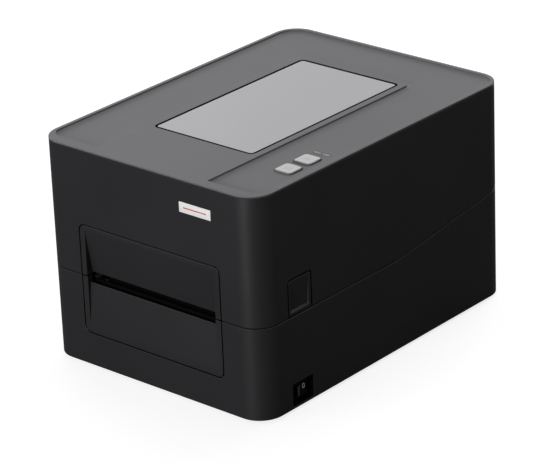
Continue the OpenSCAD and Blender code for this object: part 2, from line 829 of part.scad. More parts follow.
// Upright arm with its foot, neck and rack; drawn for the left side
module roll_holder() difference() {
    out_x = -holder_x - holder_t;
    neck_x = -holder_x - neck_l;
    foot_z = tray_floor + holder_lift;
    head_r = 12;
    rib_x = -holder_x - 8;
    union() {
        along_x(out_x, -holder_x) union() {
            polygon([[bay_y - holder_half, foot_z], [bay_y + holder_half, foot_z],
                [bay_y + head_r, bay_z], [bay_y - head_r, bay_z]]);
            translate([bay_y, bay_z]) circle(head_r);
        }
        block([-holder_x - 10, bay_y - holder_half, foot_z],
            [-holder_x, bay_y + holder_half, tray_floor + 3]);
        // neck through the tray's slot
        block([neck_x, bay_y - neck_y - neck_w / 2, rack_z0],
            [-holder_x, bay_y - neck_y + neck_w / 2, tray_floor + 1]);
        translate([0, bay_y - rack_pitch_r, rack_z0]) linear_extrude(rack_z1 - rack_z0)
            polygon(rack_outline(-16, 2, neck_x));
        // ribs on the outer face
        for (y = [-10, 10]) block([rib_x, bay_y + y - 1, tray_floor + 2], [out_x + eps, bay_y + y + 1, 60]);
    }
    rod_x(hub_pin_r, out_x - 2, -holder_x + 1, bay_y, bay_z);
    // lightening holes
    for (z = [48, 62]) rod_x(5, out_x - 2, -holder_x + 1, bay_y, z);
}

module roll_holder_left() color("#3a3b3c") roll_holder();
module roll_holder_right() color("#3a3b3c")
    translate([0, bay_y, 0]) rotate(180) translate([0, -bay_y, 0]) roll_holder();

// Stepped hub that enters the core of the roll; drawn for the left side
module roll_hub() difference() {
    inner_x = -holder_x + 0.6;
    rim_r = 24;
    step_x = -holder_x + 6;
    union() {
        rod_x(rim_r, inner_x, inner_x + 2, bay_y, bay_z);
        rod_x(18, inner_x + 1.9, step_x, bay_y, bay_z);
        translate([step_x - eps, bay_y, bay_z]) rotate([0, 90, 0]) cylinder(h = 5.4, r1 = 12.4, r2 = 10.5);
    }
    rod_x(hub_pin_r + bush_clear, -holder_x - 5, 0, bay_y, bay_z);
    // seat of the shoulder screw's head
    rod_x(6, step_x + 3, 0, bay_y, bay_z);
    // ring of holes near the rim
    for (a = [0:60:300])
        translate([0, bay_y, bay_z]) rotate([a, 0, 0]) rod_x(3, -holder_x, inner_x + 3, 20.8, 0);
}

module roll_hub_left() color("#4a4b4d") roll_hub();
module roll_hub_right() color("#4a4b4d") mirror([1, 0, 0]) roll_hub();

// Shoulder screw that carries a hub
module hub_screw() {
    head_x = -holder_x + 9.3;
    rod_x(hub_pin_r, -holder_x - holder_t, head_x + 0.1, bay_y, bay_z);
    rod_x(5, head_x, head_x + 1.6, bay_y, bay_z);
}

module hub_screws_left() color(steel) hub_screw();
module hub_screws_right() color(steel) mirror([1, 0, 0]) hub_screw();

module centring_pinion() color("#e4e1d8") difference() {
    translate([0, bay_y, rack_z0]) linear_extrude(rack_z1 - rack_z0)
        polygon(gear_outline(rack_pinion_n, rack_m, 90));
    rod_z(hub_pin_r + bush_clear, 0, 40, 0, bay_y);
}

module pinion_screw() color(steel) {
    rod_z(5, rack_z0 - 2, rack_z0 - 0.2, 0, bay_y);
    rod_z(screw_r, rack_z0 - 0.3, rack_z0 + 3.6, 0, bay_y);
    rod_z(2.9, rack_z0 - 0.3, rack_z0, 0, bay_y);
}

// ---------- electronics ----------

module main_board() color("#1f5a3a") difference() {
    top = board_z + board_t;
    union() {
        block([-74, 50, board_z], [74, 133, top]);
        // chips, capacitors, connectors and a coil
        for (x = [-10, 18]) block([x, 70, top - eps], [x + 16, 86, top + 1.6]);
        for (x = [40:12:64]) rod_z(4.5, top - eps, top + 8, x, 104);
        for (x = [-64:16:-32]) block([x, 54, top - eps], [x + 12, 60, top + 6]);
        block([-2, 110, top - eps], [20, 114, top + 7]);
    }
    for (p = board_posts) rod_z(screw_r, 0, 20, p[0], p[1]);
}

module board_screws() color(steel)
    for (p = board_posts) screw_z(p[0], p[1], board_z + board_t, board_t + board_z - floor_z - 0.6);

module dc_jack() color("#151516") {
    barrel_z = port_z0 + 5.8;
    difference() {
        block([jack_x - jack_w / 2, rear_y - 15, port_z0],
            [jack_x + jack_w / 2, port_y, port_z0 + port_h - port_gap]);
        rod_y(3.2, rear_y - 11, rear_y, jack_x, barrel_z);
    }
    rod_y(1, rear_y - 12, rear_y - 2, jack_x, barrel_z);
}

module usb_port() color(steel) {
    difference() {
        block([usb_x - usb_w / 2, rear_y - 17, port_z0],
            [usb_x + usb_w / 2, port_y, port_z0 + port_h - port_gap]);
        along_y(rear_y - 14, rear_y) translate([usb_x, port_z0 + 5.4]) {
            square([8.5, 5.6], center = true);
            square([6, 7.8], center = true);
        }
    }
    block([usb_x - 2.8, rear_y - 15, port_z0 + 3.8], [usb_x + 2.8, rear_y - 5, port_z0 + 7]);
}

module switch_housing() color("#101011") difference() {
    half_w = rocker_w / 2;
    half_h = rocker_h / 2;
    rim = 1.9;
    skin = 0.4;
    back_x = pocket_x - 12;
    union() {
        block([back_x, switch_y - half_w - 0.5, switch_z - half_h - 0.5],
            [pocket_x + 0.1, switch_y + half_w + 0.5, switch_z + half_h + 0.5]);
        block([pocket_x, switch_y - half_w - rim, switch_z - half_h - rim],
            [pocket_x + 1.2, switch_y + half_w + rim, switch_z + half_h + rim]);
        // solder tags
        for (s = [-4, 0, 4]) block([back_x - 5, switch_y + s - 0.4, switch_z - 1.6],
            [back_x + 0.1, switch_y + s + 0.4, switch_z + 1.6]);
    }
    block([pocket_x - 8, switch_y - half_w + skin, switch_z - half_h + skin],
        [pocket_x + 2, switch_y + half_w - skin, switch_z + half_h - skin]);
    rod_z(rocker_pin_r + bush_clear, switch_z - half_h - 0.1, switch_z + half_h + 0.1, rocker_x, switch_y);
}

// Rocker at its off position: the front half stands proud
module power_rocker() color("#2a2a2c") translate([rocker_x, switch_y, switch_z]) rotate(rocker_tilt) {
    h = rocker_h - 1.4;
    translate([0, 0, -h / 2]) linear_extrude(h)
        polygon([[-3, -3], [-3, 3], [3.2, 5.2], [5.2, 5.3], [4, 0], [5.2, -5.3], [3.2, -5.2]]);
    rod_z(rocker_pin_r, -rocker_h / 2, rocker_h / 2, 0, 0);
}

// ---------- lid ----------

module ears() {
    for (x = [tower_x - tower_w / 2 - ear_gap - ear_w, tower_x + tower_w / 2 + ear_gap])
        along_x(x, x + ear_w) difference() {
            wall_y = rear_y - wall + eps;
            union() {
                translate([hinge_y, hinge_z]) circle(ear_r);
                polygon([[hinge_y - ear_r, hinge_z], [wall_y, hinge_z], [wall_y, hinge_z + 30],
                    [hinge_y - 2, hinge_z + 24], [hinge_y - ear_r, hinge_z + 8]]);
            }
            translate([hinge_y, hinge_z]) circle(hinge_pin_r);
        }
}

// Rounded lower rear edge that rolls about the hinge axis
module lid_roll() {
    half = side_x - corner_r - 4;
    along_x(-half, half) translate([hinge_y, hinge_z]) difference() {
        intersection() {
            circle(hinge_r);
            translate([0, -hinge_r]) square(hinge_r);
        }
        circle(hinge_r - wall);
    }
}

module keys_opening() block([key_x - 10, feed_key_y - 10, roof_under - 1],
    [key_x + 10, led_y + 4, panel_under + 1]);

module lid_shell() color(black) difference() {
    panel_fit = 0.2;
    rib_z = roof_under - 4;
    union() {
        difference() {
            slab(body_w, body_d, corner_r, seam_z, shell_top_z);
            slab(body_w - 2 * wall, body_d - 2 * wall, corner_r - wall, 0, roof_under);
            below_lid();
            // lower rear edge rolls about the hinge axis
            along_x(-big, big) difference() {
                translate([hinge_y, 0]) square([big, hinge_z]);
                translate([hinge_y, hinge_z]) circle(hinge_r);
            }
        }
        lid_roll();
        both_sides() ears();
        for (p = key_posts) rod_z(3, key_board_z + board_t, roof_under + eps, p[0], p[1]);
        // ribs under the roof
        for (x = [-60, 60]) block([x - 1, -135, rib_z], [x + 1, 128, roof_under + eps]);
        for (y = [-92, 100]) block([-74, y - 1, rib_z], [74, y + 1, roof_under + eps]);
    }
    // seat of the top panel
    slab(body_w - 2 * wall + 2 * panel_fit, body_d - 2 * wall + 2 * panel_fit,
        corner_r - wall + panel_fit, panel_under, big);
    // window and key openings in the roof
    translate([0, window_mid_y, 0]) slab(window_w - 2 * window_ledge, window_l - 2 * window_ledge,
        window_r, roof_under - 6, big);
    keys_opening();
    bezel_opening();
    both_sides() {
        // opening for a latch button
        along_x(inner_side_x - 1, side_x + 1)
            translate([latch_y, latch_z1 - 40]) rounded(latch_w, 80, 3);
        // notch for a hinge tower
        block([tower_x - tower_w / 2 - ear_gap, hinge_y - hinge_r - 2, 60],
            [tower_x + tower_w / 2 + ear_gap, rear_y + 1, hinge_z + hinge_r + notch_gap]);
    }
    for (p = key_posts) rod_z(small_screw_r, key_board_z, roof_under - 2, p[0], p[1]);
    for (p = frame_screw_at) rod_y(screw_r, front_y + 0.5, inner_front_y + 1, p[0], p[1]);
    block([badge[0], front_y - 1, badge[2]], [badge[1], front_y + badge_t, badge[3]]);
}

module hinge_pins() color(steel) both_sides()
    rod_x(hinge_pin_r, tower_x - tower_w / 2 - ear_gap - ear_w, tower_x + tower_w / 2 + ear_gap + ear_w,
        hinge_y, hinge_z);

// Section of the sweep at the foot of a step: the step stands at u = 0, the field lies towards +u
module sweep_section() translate([0, field_z]) difference() {
    r = (sweep_w * sweep_w + sweep_h * sweep_h) / (2 * sweep_h);
    translate([-1, -1]) square([sweep_w + 1, sweep_h + 1]);
    translate([sweep_w, r]) circle(r);
}

// Straight sweep from [x, y] along the direction a; the field lies on its right
module sweep_run(x, y, a, length) translate([x, y, 0]) rotate([90, 0, a - 90])
    translate([0, 0, -length]) linear_extrude(length) sweep_section();

// Raised middle of the top, flush with the rim, with the sweep along its three free sides
module plateau() {
    start = depth_y(rim_front - 2 * plateau_r);
    end = depth_y(plateau_end);
    cx = plateau_x - plateau_r;
    translate([0, (start + end) / 2, 0]) slab(2 * plateau_x, end - start, plateau_r, field_z - 1, big);
    sweep_run(plateau_x, start, 90, end - plateau_r - start);
    sweep_run(-plateau_x, end - plateau_r, -90, end - plateau_r - start);
    sweep_run(cx, end, 180, 2 * cx);
    for (s = [0, 1]) translate([s * 2 * cx - cx, end - plateau_r, 0]) rotate(90 - 90 * s)
        rotate_extrude(angle = 90) translate([plateau_r, 0]) sweep_section();
}

// Sweep round a corner of radius r centred on [x, y], turned by a; the field lies inside
module sweep_corner(x, y, r, a) translate([x, y, 0]) rotate(a) rotate_extrude(angle = 90)
    translate([r, 0]) mirror([1, 0, 0]) sweep_section();

// Sunken field round the plateau, with the sweep along the inside of the rim
module field_cut() {
    x = side_x - rim_w;
    y0 = depth_y(rim_front);
    y1 = rear_y - rim_w;
    r0 = field_front_r;
    r1 = corner_r - rim_w;
    difference() {
        union() {
            translate([0, (y0 + y1) / 2, 0]) slab(2 * x, y1 - y0, r1, field_z, big);
            translate([0, y0 + 2 * r0, 0]) slab(2 * x, 4 * r0, r0, field_z, big);
        }
        plateau();
        both_sides() {
            sweep_run(x, y1 - r1, -90, y1 - y0 - r0 - r1);
            sweep_corner(x - r1, y1 - r1, r1, 0);
            sweep_corner(x - r0, y0 + r0, r0, -90);
        }
        sweep_run(x - r0, y0, 180, 2 * (x - r0));
        sweep_run(r1 - x, y1, 0, 2 * (x - r1));
    }
}

module top_panel() color(top_grey) difference() {
    union() {
        // visible top with its rounded outer edge
        intersection() {
            w = body_w - 2 * edge_r;
            d = body_d - 2 * edge_r;
            union() {
                slab(w, d, corner_r - edge_r, panel_lip_z, top_z);
                slab(body_w, body_d, corner_r, panel_lip_z, top_z - edge_r);
                edge_bars(w, d, corner_r - edge_r, edge_r, top_z - edge_r);
            }
            block([-big, -big, panel_lip_z], [big, big, big]);
        }
        // shadow groove between panel and lid, then the part inside the lid's walls
        slab(body_w - 2 * groove_depth, body_d - 2 * groove_depth, corner_r - groove_depth,
            shell_top_z, panel_lip_z + eps);
        slab(body_w - 2 * wall, body_d - 2 * wall, corner_r - wall, panel_under, panel_lip_z + eps);
    }
    field_cut();
    translate([0, window_mid_y, 0]) slab(window_w + 2 * gasket_w, window_l + 2 * gasket_w,
        window_r + gasket_w, 0, big);
    for (y = [feed_key_y, pause_key_y]) translate([key_x, y, 0])
        slab(key_w + 2 * key_gap, key_w + 2 * key_gap, key_r + key_gap, 0, big);
    translate([led_x, led_y, 0]) slab(led_w, led_l, led_r, 0, big);
}

module window_pane() color(pane_grey) translate([0, window_mid_y, 0])
    slab(window_w, window_l, window_r, panel_under, top_z - pane_drop);

module window_gasket() color("#111112") translate([0, window_mid_y, 0]) difference() {
    slab(window_w + 2 * gasket_w, window_l + 2 * gasket_w, window_r + gasket_w,
        panel_under, top_z - gasket_drop);
    slab(window_w, window_l, window_r, panel_under - 1, top_z);
}

module upper_front_bezel() color(black)
    bezel_half(seam_z + seam_gap / 2, bezel_z1 + flange_reach, recess_top_z, slot_z1, recess_high);

// Folded moulding that carries the print head below the front of the lid
module lid_inner_frame() color("#2c2c2d") difference() {
    t = shelf_t;
    rear = -80;
    lip_z = shelf_z + 8;
    top_z1 = 146;
    union() {
        along_x(-frame_x, frame_x) polygon([
            [frame_front_y, shelf_z], [rear, shelf_z], [rear, lip_z], [rear - t, lip_z],
            [rear - t, shelf_z + t], [frame_front_y + t, shelf_z + t], [frame_front_y + t, frame_top + t],
            [inner_front_y + t, frame_top + t], [inner_front_y + t, top_z1], [inner_front_y, top_z1],
            [inner_front_y, frame_top], [frame_front_y, frame_top]]);
        // gussets
        for (x = [-70, -25, 25, 70]) along_x(x - 1, x + 1) polygon([
            [frame_front_y + t - 0.1, shelf_z + t - 0.1], [-90, shelf_z + t - 0.1],
            [frame_front_y + t - 0.1, frame_top]]);
        // seats of the latch springs
        both_sides() block([frame_x - 0.5, latch_y - 7, shelf_z],
            [latch_seat_x, latch_y + 7, latch_spring_z + 7]);
    }
    for (p = frame_screw_at) rod_y(screw_r, inner_front_y - 1, inner_front_y + t + 1.5, p[0], p[1]);
    for (p = bracket_screw_at) rod_z(screw_r, shelf_z - 1, shelf_z + t + 1.5, p[0], p[1]);
}

module frame_screws() color(steel) {
    head_y = inner_front_y + shelf_t;
    for (p = frame_screw_at) {
        rod_y(screw_r, front_y + 0.5, head_y + eps, p[0], p[1]);
        rod_y(screw_head_r, head_y, head_y + screw_head_h, p[0], p[1]);
    }
    for (p = bracket_screw_at) screw_z(p[0], p[1], shelf_z + shelf_t, bracket_t + shelf_t);
}

module head_bracket() color(steel) difference() {
    t = bracket_t;
    union() {
        block([-ear_x - t, head_front_y, bracket_z], [ear_x + t, -90, shelf_z]);
        both_sides() along_x(ear_x, ear_x + t) translate([pivot_y, 0]) polygon([
            [-7, bracket_z + eps], [7, bracket_z + eps], [7, pivot_z],
            [3, pivot_z - 5], [-3, pivot_z - 5], [-7, pivot_z]]);
    }
    both_sides() rod_x(pivot_r, ear_x - 1, ear_x + t + 1, pivot_y, pivot_z);
    for (p = bracket_screw_at) rod_z(screw_r, bracket_z - 1, shelf_z + 1, p[0], p[1]);
}

module head_pivot_pins() color("#c8ccd0") both_sides() {
    rod_x(pivot_r, 54, ear_x + bracket_t, pivot_y, pivot_z);
    rod_x(3, ear_x + bracket_t, ear_x + bracket_t + 1, pivot_y, pivot_z);
}

module print_head() color("#9a9da0") difference() {
    half = 59;
    fin_top = 84;
    union() {
        block([-half, head_front_y, head_z + strip_t], [half, -92, head_top_z]);
        block([-half, head_front_y, head_top_z - eps], [half, head_front_y + 4, head_top_z + 3]);
        // cooling fins
        for (y = [-126:5:-111]) block([-50, y - 0.8, head_top_z - eps], [50, y + 0.8, fin_top]);
        // pivot blocks
        both_sides() block([52, pivot_y - 5, head_top_z - eps], [ear_x - 0.7, pivot_y + 5, pivot_z + 4]);
    }
    both_sides() rod_x(pivot_r + bush_clear, 53.5, ear_x + 0.5, pivot_y, pivot_z);
    // spring pockets through the fins
    for (s = [-1, 1]) rod_z(4.2, head_top_z, bracket_z - 1, s * head_spring_x, head_spring_y);
}

module heating_element() color("#d8d2c4")
    block([-56, head_front_y + 3, head_z], [56, head_front_y + 17, head_z + strip_t]);

module head_springs() color("#c8ccd0") for (s = [-1, 1])
    translate([s * head_spring_x, head_spring_y, head_top_z]) coil(3, 0.5, bracket_z - head_top_z, 5);

// ---------- latches ----------

module latch_button() {
    y0 = latch_y - latch_w / 2 + latch_gap;
    y1 = latch_y + latch_w / 2 - latch_gap;
    z0 = latch_z0 + 0.4;
    z1 = latch_z1 - latch_gap;
    arm_y = 8;
    body_z = 84;
    scoop_z0 = z0 + 2.7;
    scoop_z1 = level(100);
    scoop_depth = 1.6;
    difference() {
        union() {
            // face with rounded upper corners
            intersection() {
                along_x(inner_side_x, side_x) translate([latch_y, z1 - 40]) rounded(y1 - y0, 80, 2.4);
                block([0, -big, z0], [big, big, big]);
            }
            block([latch_arm_x0, latch_y - arm_y, body_z],
                [inner_side_x + eps, latch_y + arm_y, latch_arm_top]);
            block([latch_arm_x0, latch_y - arm_y, latch_barb_z0],
                [latch_arm_x1, latch_y + arm_y, latch_arm_top]);
            // barb
            along_y(latch_y - arm_y + 1, latch_y + arm_y - 1) polygon([
                [latch_arm_x1 - eps, latch_barb_z0], [latch_barb_x, latch_barb_z0 + 4.4],
                [latch_barb_x, latch_barb_z1], [latch_arm_x1 - eps, latch_barb_z1]]);
        }
        // finger scoop, deepest at its lower end
        along_y(y0 + 1.8, y1 - 3) polygon([
            [side_x + 1, scoop_z1 + 0.1], [side_x, scoop_z1], [side_x - scoop_depth, scoop_z0 + scoop_depth],
            [side_x - 1.2, scoop_z0 + 0.4], [side_x, scoop_z0], [side_x + 1, scoop_z0]]);
        // seat of the spring
        rod_x(3.6, latch_arm_x0 - 1, latch_arm_x0 + latch_seat_depth, latch_y, latch_spring_z);
    }
}

module latch_button_left() color(side_black) mirror([1, 0, 0]) latch_button();
module latch_button_right() color(side_black) latch_button();

module latch_spring() translate([latch_seat_x, latch_y, latch_spring_z]) rotate([0, 90, 0])
    coil(2.8, 0.35, latch_arm_x0 + latch_seat_depth - latch_seat_x, 5);
module latch_spring_left() color("#c8ccd0") mirror([1, 0, 0]) latch_spring();
module latch_spring_right() color("#c8ccd0") latch_spring();

// ---------- operating panel ----------

module key(y) translate([key_x, y, 0]) {
    cap_z = field_z + key_proud;
    flange_z = panel_under - 2.2;
    slab(key_w, key_w, key_r, flange_z + 0.4, cap_z - key_edge);
    slab(key_w - 2 * key_edge, key_w - 2 * key_edge, key_r - key_edge, field_z, cap_z);
    slab(key_w + 2 * key_flange, key_w + 2 * key_flange, key_r + key_flange, flange_z, panel_under - 0.3);
    rod_z(2, roof_under - 2, flange_z + 0.2, 0, 0);
}

module feed_key() color(key_grey) key(feed_key_y);
module pause_key() color(key_grey) key(pause_key_y);

module led_lens() color("#8d8d8d") translate([led_x, led_y, 0])
    slab(led_w, led_l, led_r, panel_under - 2, field_z);

module key_board() color("#1f5a3a") difference() {
    top = key_board_z + board_t;
    half = 9;
    union() {
        block([key_x - half, feed_key_y - 17, key_board_z], [key_x + half, led_y + 12, top]);
        // push switches under the keys
        for (y = [feed_key_y, pause_key_y]) {
            block([key_x - 3, y - 3, key_board_z], [key_x + 3, y + 3, top + 4]);
            rod_z(1.7, key_board_z, roof_under - 2.9, key_x, y);
        }
        // light sources under the lens
        for (x = [-4, 0, 4]) block([led_x + x - 1, led_y - 1, key_board_z],
            [led_x + x + 1, led_y + 1, roof_under - 1]);
        // cable socket
        block([key_x - 8, feed_key_y + 8, key_board_z - 4], [key_x + 2, feed_key_y + 13, key_board_z + eps]);
    }
    for (p = key_posts) rod_z(small_screw_r, 0, big, p[0], p[1]);
}

module key_board_screws() color(steel) for (p = key_posts) {
    rod_z(small_screw_head_r, key_board_z - 1.4, key_board_z, p[0], p[1]);
    rod_z(small_screw_r, key_board_z - eps, key_board_z + board_t + 5, p[0], p[1]);
}

module badge_plate() color("#f4f4f2")
    block([badge[0], front_y, badge[2]], [badge[1], front_y + badge_t, badge[3]]);

base_tub();
rubber_feet();
lower_front_bezel();
bezel_screws();
left_side_plate();
right_side_plate();
plate_screws();
tear_bar();
platen_bushes();
platen_roller();
platen_shaft();
platen_gear();
idler_gear();
idler_stud();
stepper_motor();
motor_screws();
motor_shaft();
motor_pinion();
media_tray();
tray_screws();
sensor_rail();
gap_sensor();
roll_holder_left();
roll_holder_right();
roll_hub_left();
roll_hub_right();
hub_screws_left();
hub_screws_right();
centring_pinion();
pinion_screw();
main_board();
board_screws();
dc_jack();
usb_port();
switch_housing();
power_rocker();
hinge_pins();
lid_shell();
top_panel();
window_pane();
window_gasket();
upper_front_bezel();
lid_inner_frame();
frame_screws();
head_bracket();
head_pivot_pins();
print_head();
heating_element();
head_springs();
latch_button_left();
latch_button_right();
latch_spring_left();
latch_spring_right();
feed_key();
pause_key();
led_lens();
key_board();
key_board_screws();
badge_plate();
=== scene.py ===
"""Looks of a desktop thermal label printer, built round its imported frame.

Every size is in metres in the frame's own axes: +Z up, the exit slot towards -Y. Each sub-assembly is a
class that softens or adds its pieces and gives them their finish.
"""

import json
import logging
import math
from dataclasses import dataclass, field
from enum import Enum
from typing import Callable, ClassVar, Iterable, Sequence

import bmesh
import bpy
from mathutils import Matrix, Vector

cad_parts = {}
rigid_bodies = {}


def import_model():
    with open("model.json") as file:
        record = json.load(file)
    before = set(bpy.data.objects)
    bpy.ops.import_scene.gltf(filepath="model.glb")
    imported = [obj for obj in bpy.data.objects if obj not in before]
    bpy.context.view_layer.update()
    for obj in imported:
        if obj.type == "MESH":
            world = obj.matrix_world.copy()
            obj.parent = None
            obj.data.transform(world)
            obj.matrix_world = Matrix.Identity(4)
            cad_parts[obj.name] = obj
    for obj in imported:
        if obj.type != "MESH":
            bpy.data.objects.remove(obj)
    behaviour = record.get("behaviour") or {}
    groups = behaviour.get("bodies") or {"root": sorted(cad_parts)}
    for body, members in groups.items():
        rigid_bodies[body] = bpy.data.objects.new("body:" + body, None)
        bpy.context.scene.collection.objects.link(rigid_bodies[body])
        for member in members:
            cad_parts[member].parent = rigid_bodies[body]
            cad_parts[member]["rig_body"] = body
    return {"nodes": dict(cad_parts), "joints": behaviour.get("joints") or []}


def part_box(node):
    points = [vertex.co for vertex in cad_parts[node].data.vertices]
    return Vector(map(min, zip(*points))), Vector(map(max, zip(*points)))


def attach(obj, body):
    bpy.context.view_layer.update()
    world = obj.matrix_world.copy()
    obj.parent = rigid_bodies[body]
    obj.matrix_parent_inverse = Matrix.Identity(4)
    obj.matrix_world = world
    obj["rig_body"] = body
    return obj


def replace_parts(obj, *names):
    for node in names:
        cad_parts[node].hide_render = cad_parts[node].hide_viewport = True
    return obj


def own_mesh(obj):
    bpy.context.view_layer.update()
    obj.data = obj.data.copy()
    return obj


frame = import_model()

log = logging.getLogger("label_printer")
MM = 0.001
WELD_DISTANCE = 0.002 * MM
SHORTEST_EDGE = 0.001 * MM
FLAT_ANGLE = 0.5
FACE_WEIGHT = 90
RELIEF_DEPTH = 0.1 * MM
Colour = tuple[float, float, float]
Point = tuple[float, float, float]
Socket = bpy.types.NodeSocket
Value = Socket | float


def srgb(red: int, green: int, blue: int) -> Colour:
    """Turn display values from 0 to 255 into a linear colour.

    Args:
        red: Display red.
        green: Display green.
        blue: Display blue.

    Returns:
        The linear red, green and blue.
    """
    def linear(value: int) -> float:
        """Linear value of one display channel."""
        part = value / 255
        return part / 12.92 if part <= 0.04045 else ((part + 0.055) / 1.055) ** 2.4

    return linear(red), linear(green), linear(blue)


class Side(Enum):
    """The printer's two sides, as seen from the front."""

    LEFT = -1
    RIGHT = 1


class KeyIcon(Enum):
    """What is moulded into a key's cap."""

    FEED = "feed"
    PAUSE = "pause"


class SwitchMark(Enum):
    """The two marks of a rocker switch."""

    OFF = "off"
    ON = "on"


# ---------------------------------------------------------------- shader node groups


class NodeSheet:
    """Short calls for a node tree that is being filled."""

    def __init__(self, tree: bpy.types.NodeTree) -> None:
        """Keep the tree that the calls fill."""
        self.tree = tree

    def add(self, kind: str, **settings: object) -> bpy.types.Node:
        """Add a node and set its properties.

        Args:
            kind: The node's type, without its ShaderNode prefix.
            **settings: Properties of the node.

        Returns:
            The new node.
        """
        node = self.tree.nodes.new("ShaderNode" + kind)
        for name, value in settings.items():
            setattr(node, name, value)
        return node

    def join(self, source: Socket, target: Socket) -> None:
        """Link one socket to another."""
        self.tree.links.new(source, target)

    def maths(self, operation: str, first: Value, second: Value = 0.0, clamp: bool = False) -> Socket:
        """Add a maths node fed by sockets or numbers.

        Args:
            operation: Blender's name of the operation.
            first: First operand, a socket or a number.
            second: Second operand, a socket or a number.
            clamp: Keep the result between 0 and 1.

        Returns:
            The result's socket.
        """
        node = self.add("Math", operation=operation, use_clamp=clamp)
        for index, value in enumerate((first, second)):
            if isinstance(value, Socket):
                self.join(value, node.inputs[index])
            else:
                node.inputs[index].default_value = value
        return node.outputs[0]

    def scaled(self, value: Value, low: Value, high: Value) -> Socket:
        """Spread a value of 0 to 1 between two limits."""
        span = self.maths("SUBTRACT", high, low)
        return self.maths("ADD", self.maths("MULTIPLY", value, span), low)

    def tinted(self, colour: Socket, factor: Socket) -> Socket:
        """Multiply a colour socket by a grey factor."""
        node = self.add("VectorMath", operation="SCALE")
        self.join(colour, node.inputs[0])
        self.join(factor, node.inputs["Scale"])
        return node.outputs[0]

    def object_point(self, stretch: Point = (1.0, 1.0, 1.0)) -> Socket:
        """Object coordinates, stretched along the axes."""
        coordinates = self.add("TexCoord")
        mapping = self.add("Mapping")
        mapping.inputs["Scale"].default_value = stretch
        self.join(coordinates.outputs["Object"], mapping.inputs["Vector"])
        return mapping.outputs[0]

    def noise(self, point: Socket, scale: Value, detail: float = 2.0) -> Socket:
        """Noise from 0 to 1 at a point.

        Args:
            point: The point's socket.
            scale: Waves per metre, a socket or a number.
            detail: Number of finer layers.

        Returns:
            The noise value's socket.
        """
        node = self.add("TexNoise")
        node.inputs["Detail"].default_value = detail
        self.join(point, node.inputs["Vector"])
        if isinstance(scale, Socket):
            self.join(scale, node.inputs["Scale"])
        else:
            node.inputs["Scale"].default_value = scale
        return node.outputs[0]


@dataclass(frozen=True)
class GroupSocket:
    """One socket of a node group and its starting value."""

    name: str
    kind: str
    value: object = None


def open_group(name: str, inputs: Sequence[GroupSocket], outputs: Sequence[GroupSocket]
               ) -> tuple[bpy.types.NodeTree, NodeSheet, bpy.types.Node, bpy.types.Node]:
    """Start a shader node group with named sockets.

    Args:
        name: The group's name.
        inputs: Its inputs.
        outputs: Its outputs.

    Returns:
        The group, its sheet, its input node and its output node.
    """
    group = bpy.data.node_groups.new(name, "ShaderNodeTree")
    for sockets, direction in ((inputs, "INPUT"), (outputs, "OUTPUT")):
        for socket in sockets:
            made = group.interface.new_socket(socket.name, in_out=direction, socket_type="NodeSocket" + socket.kind)
            if socket.value is not None:
                made.default_value = socket.value
    source = group.nodes.new("NodeGroupInput")
    sink = group.nodes.new("NodeGroupOutput")
    return group, NodeSheet(group), source, sink


SURFACE_OUTPUTS = (GroupSocket("Colour", "Color"), GroupSocket("Roughness", "Float"), GroupSocket("Height", "Float"))


def moulded_grain() -> bpy.types.NodeTree:
    """Spark-eroded grain of a moulded face, with slight flow marks.

    Returns:
        A group with a colour, a roughness and a height.
    """
    group, sheet, source, sink = open_group(
        "moulded_grain",
        (GroupSocket("Colour", "Color", (0.5, 0.5, 0.5, 1)), GroupSocket("Roughness", "Float", 0.5),
         GroupSocket("Grain Scale", "Float", 1800.0), GroupSocket("Grain Tint", "Float", 0.12),
         GroupSocket("Mottle", "Float", 0.05)),
        SURFACE_OUTPUTS)
    point = sheet.object_point()
    fine = sheet.noise(point, source.outputs["Grain Scale"], 3.0)
    broad = sheet.noise(point, 14.0, 2.0)
    grain = sheet.maths("MULTIPLY", sheet.maths("SUBTRACT", fine, 0.5), source.outputs["Grain Tint"])
    drift = sheet.maths("MULTIPLY", sheet.maths("SUBTRACT", broad, 0.5), source.outputs["Mottle"])
    factor = sheet.maths("ADD", sheet.maths("ADD", grain, drift), 1.0)
    sheet.join(sheet.tinted(source.outputs["Colour"], factor), sink.inputs["Colour"])
    uneven = sheet.maths("MULTIPLY", sheet.maths("ADD", sheet.maths("SUBTRACT", broad, 0.5),
                                                 sheet.maths("SUBTRACT", fine, 0.5)), 0.12)
    sheet.join(sheet.maths("ADD", source.outputs["Roughness"], uneven, True), sink.inputs["Roughness"])
    sheet.join(fine, sink.inputs["Height"])
    return group


def drawn_lines() -> bpy.types.NodeTree:
    """Fine lines that rolling or drawing leaves on metal.

    Returns:
        A group with a colour, a roughness and a height.
    """
    group, sheet, source, sink = open_group(
        "drawn_lines",
        (GroupSocket("Colour", "Color", (0.5, 0.5, 0.5, 1)), GroupSocket("Roughness", "Float", 0.35),
         GroupSocket("Line Scale", "Float", 40.0), GroupSocket("Contrast", "Float", 0.15)),
        SURFACE_OUTPUTS)
    lines = sheet.noise(sheet.object_point((1.0, 40.0, 40.0)), source.outputs["Line Scale"], 3.0)
    stains = sheet.noise(sheet.object_point(), 45.0, 3.0)
    shade = sheet.maths("MULTIPLY", sheet.maths("SUBTRACT", sheet.maths("ADD", lines, stains), 1.0),
                        source.outputs["Contrast"])
    sheet.join(sheet.tinted(source.outputs["Colour"], sheet.maths("ADD", shade, 1.0)), sink.inputs["Colour"])
    sheet.join(sheet.maths("ADD", source.outputs["Roughness"], shade, True), sink.inputs["Roughness"])
    sheet.join(lines, sink.inputs["Height"])
    return group


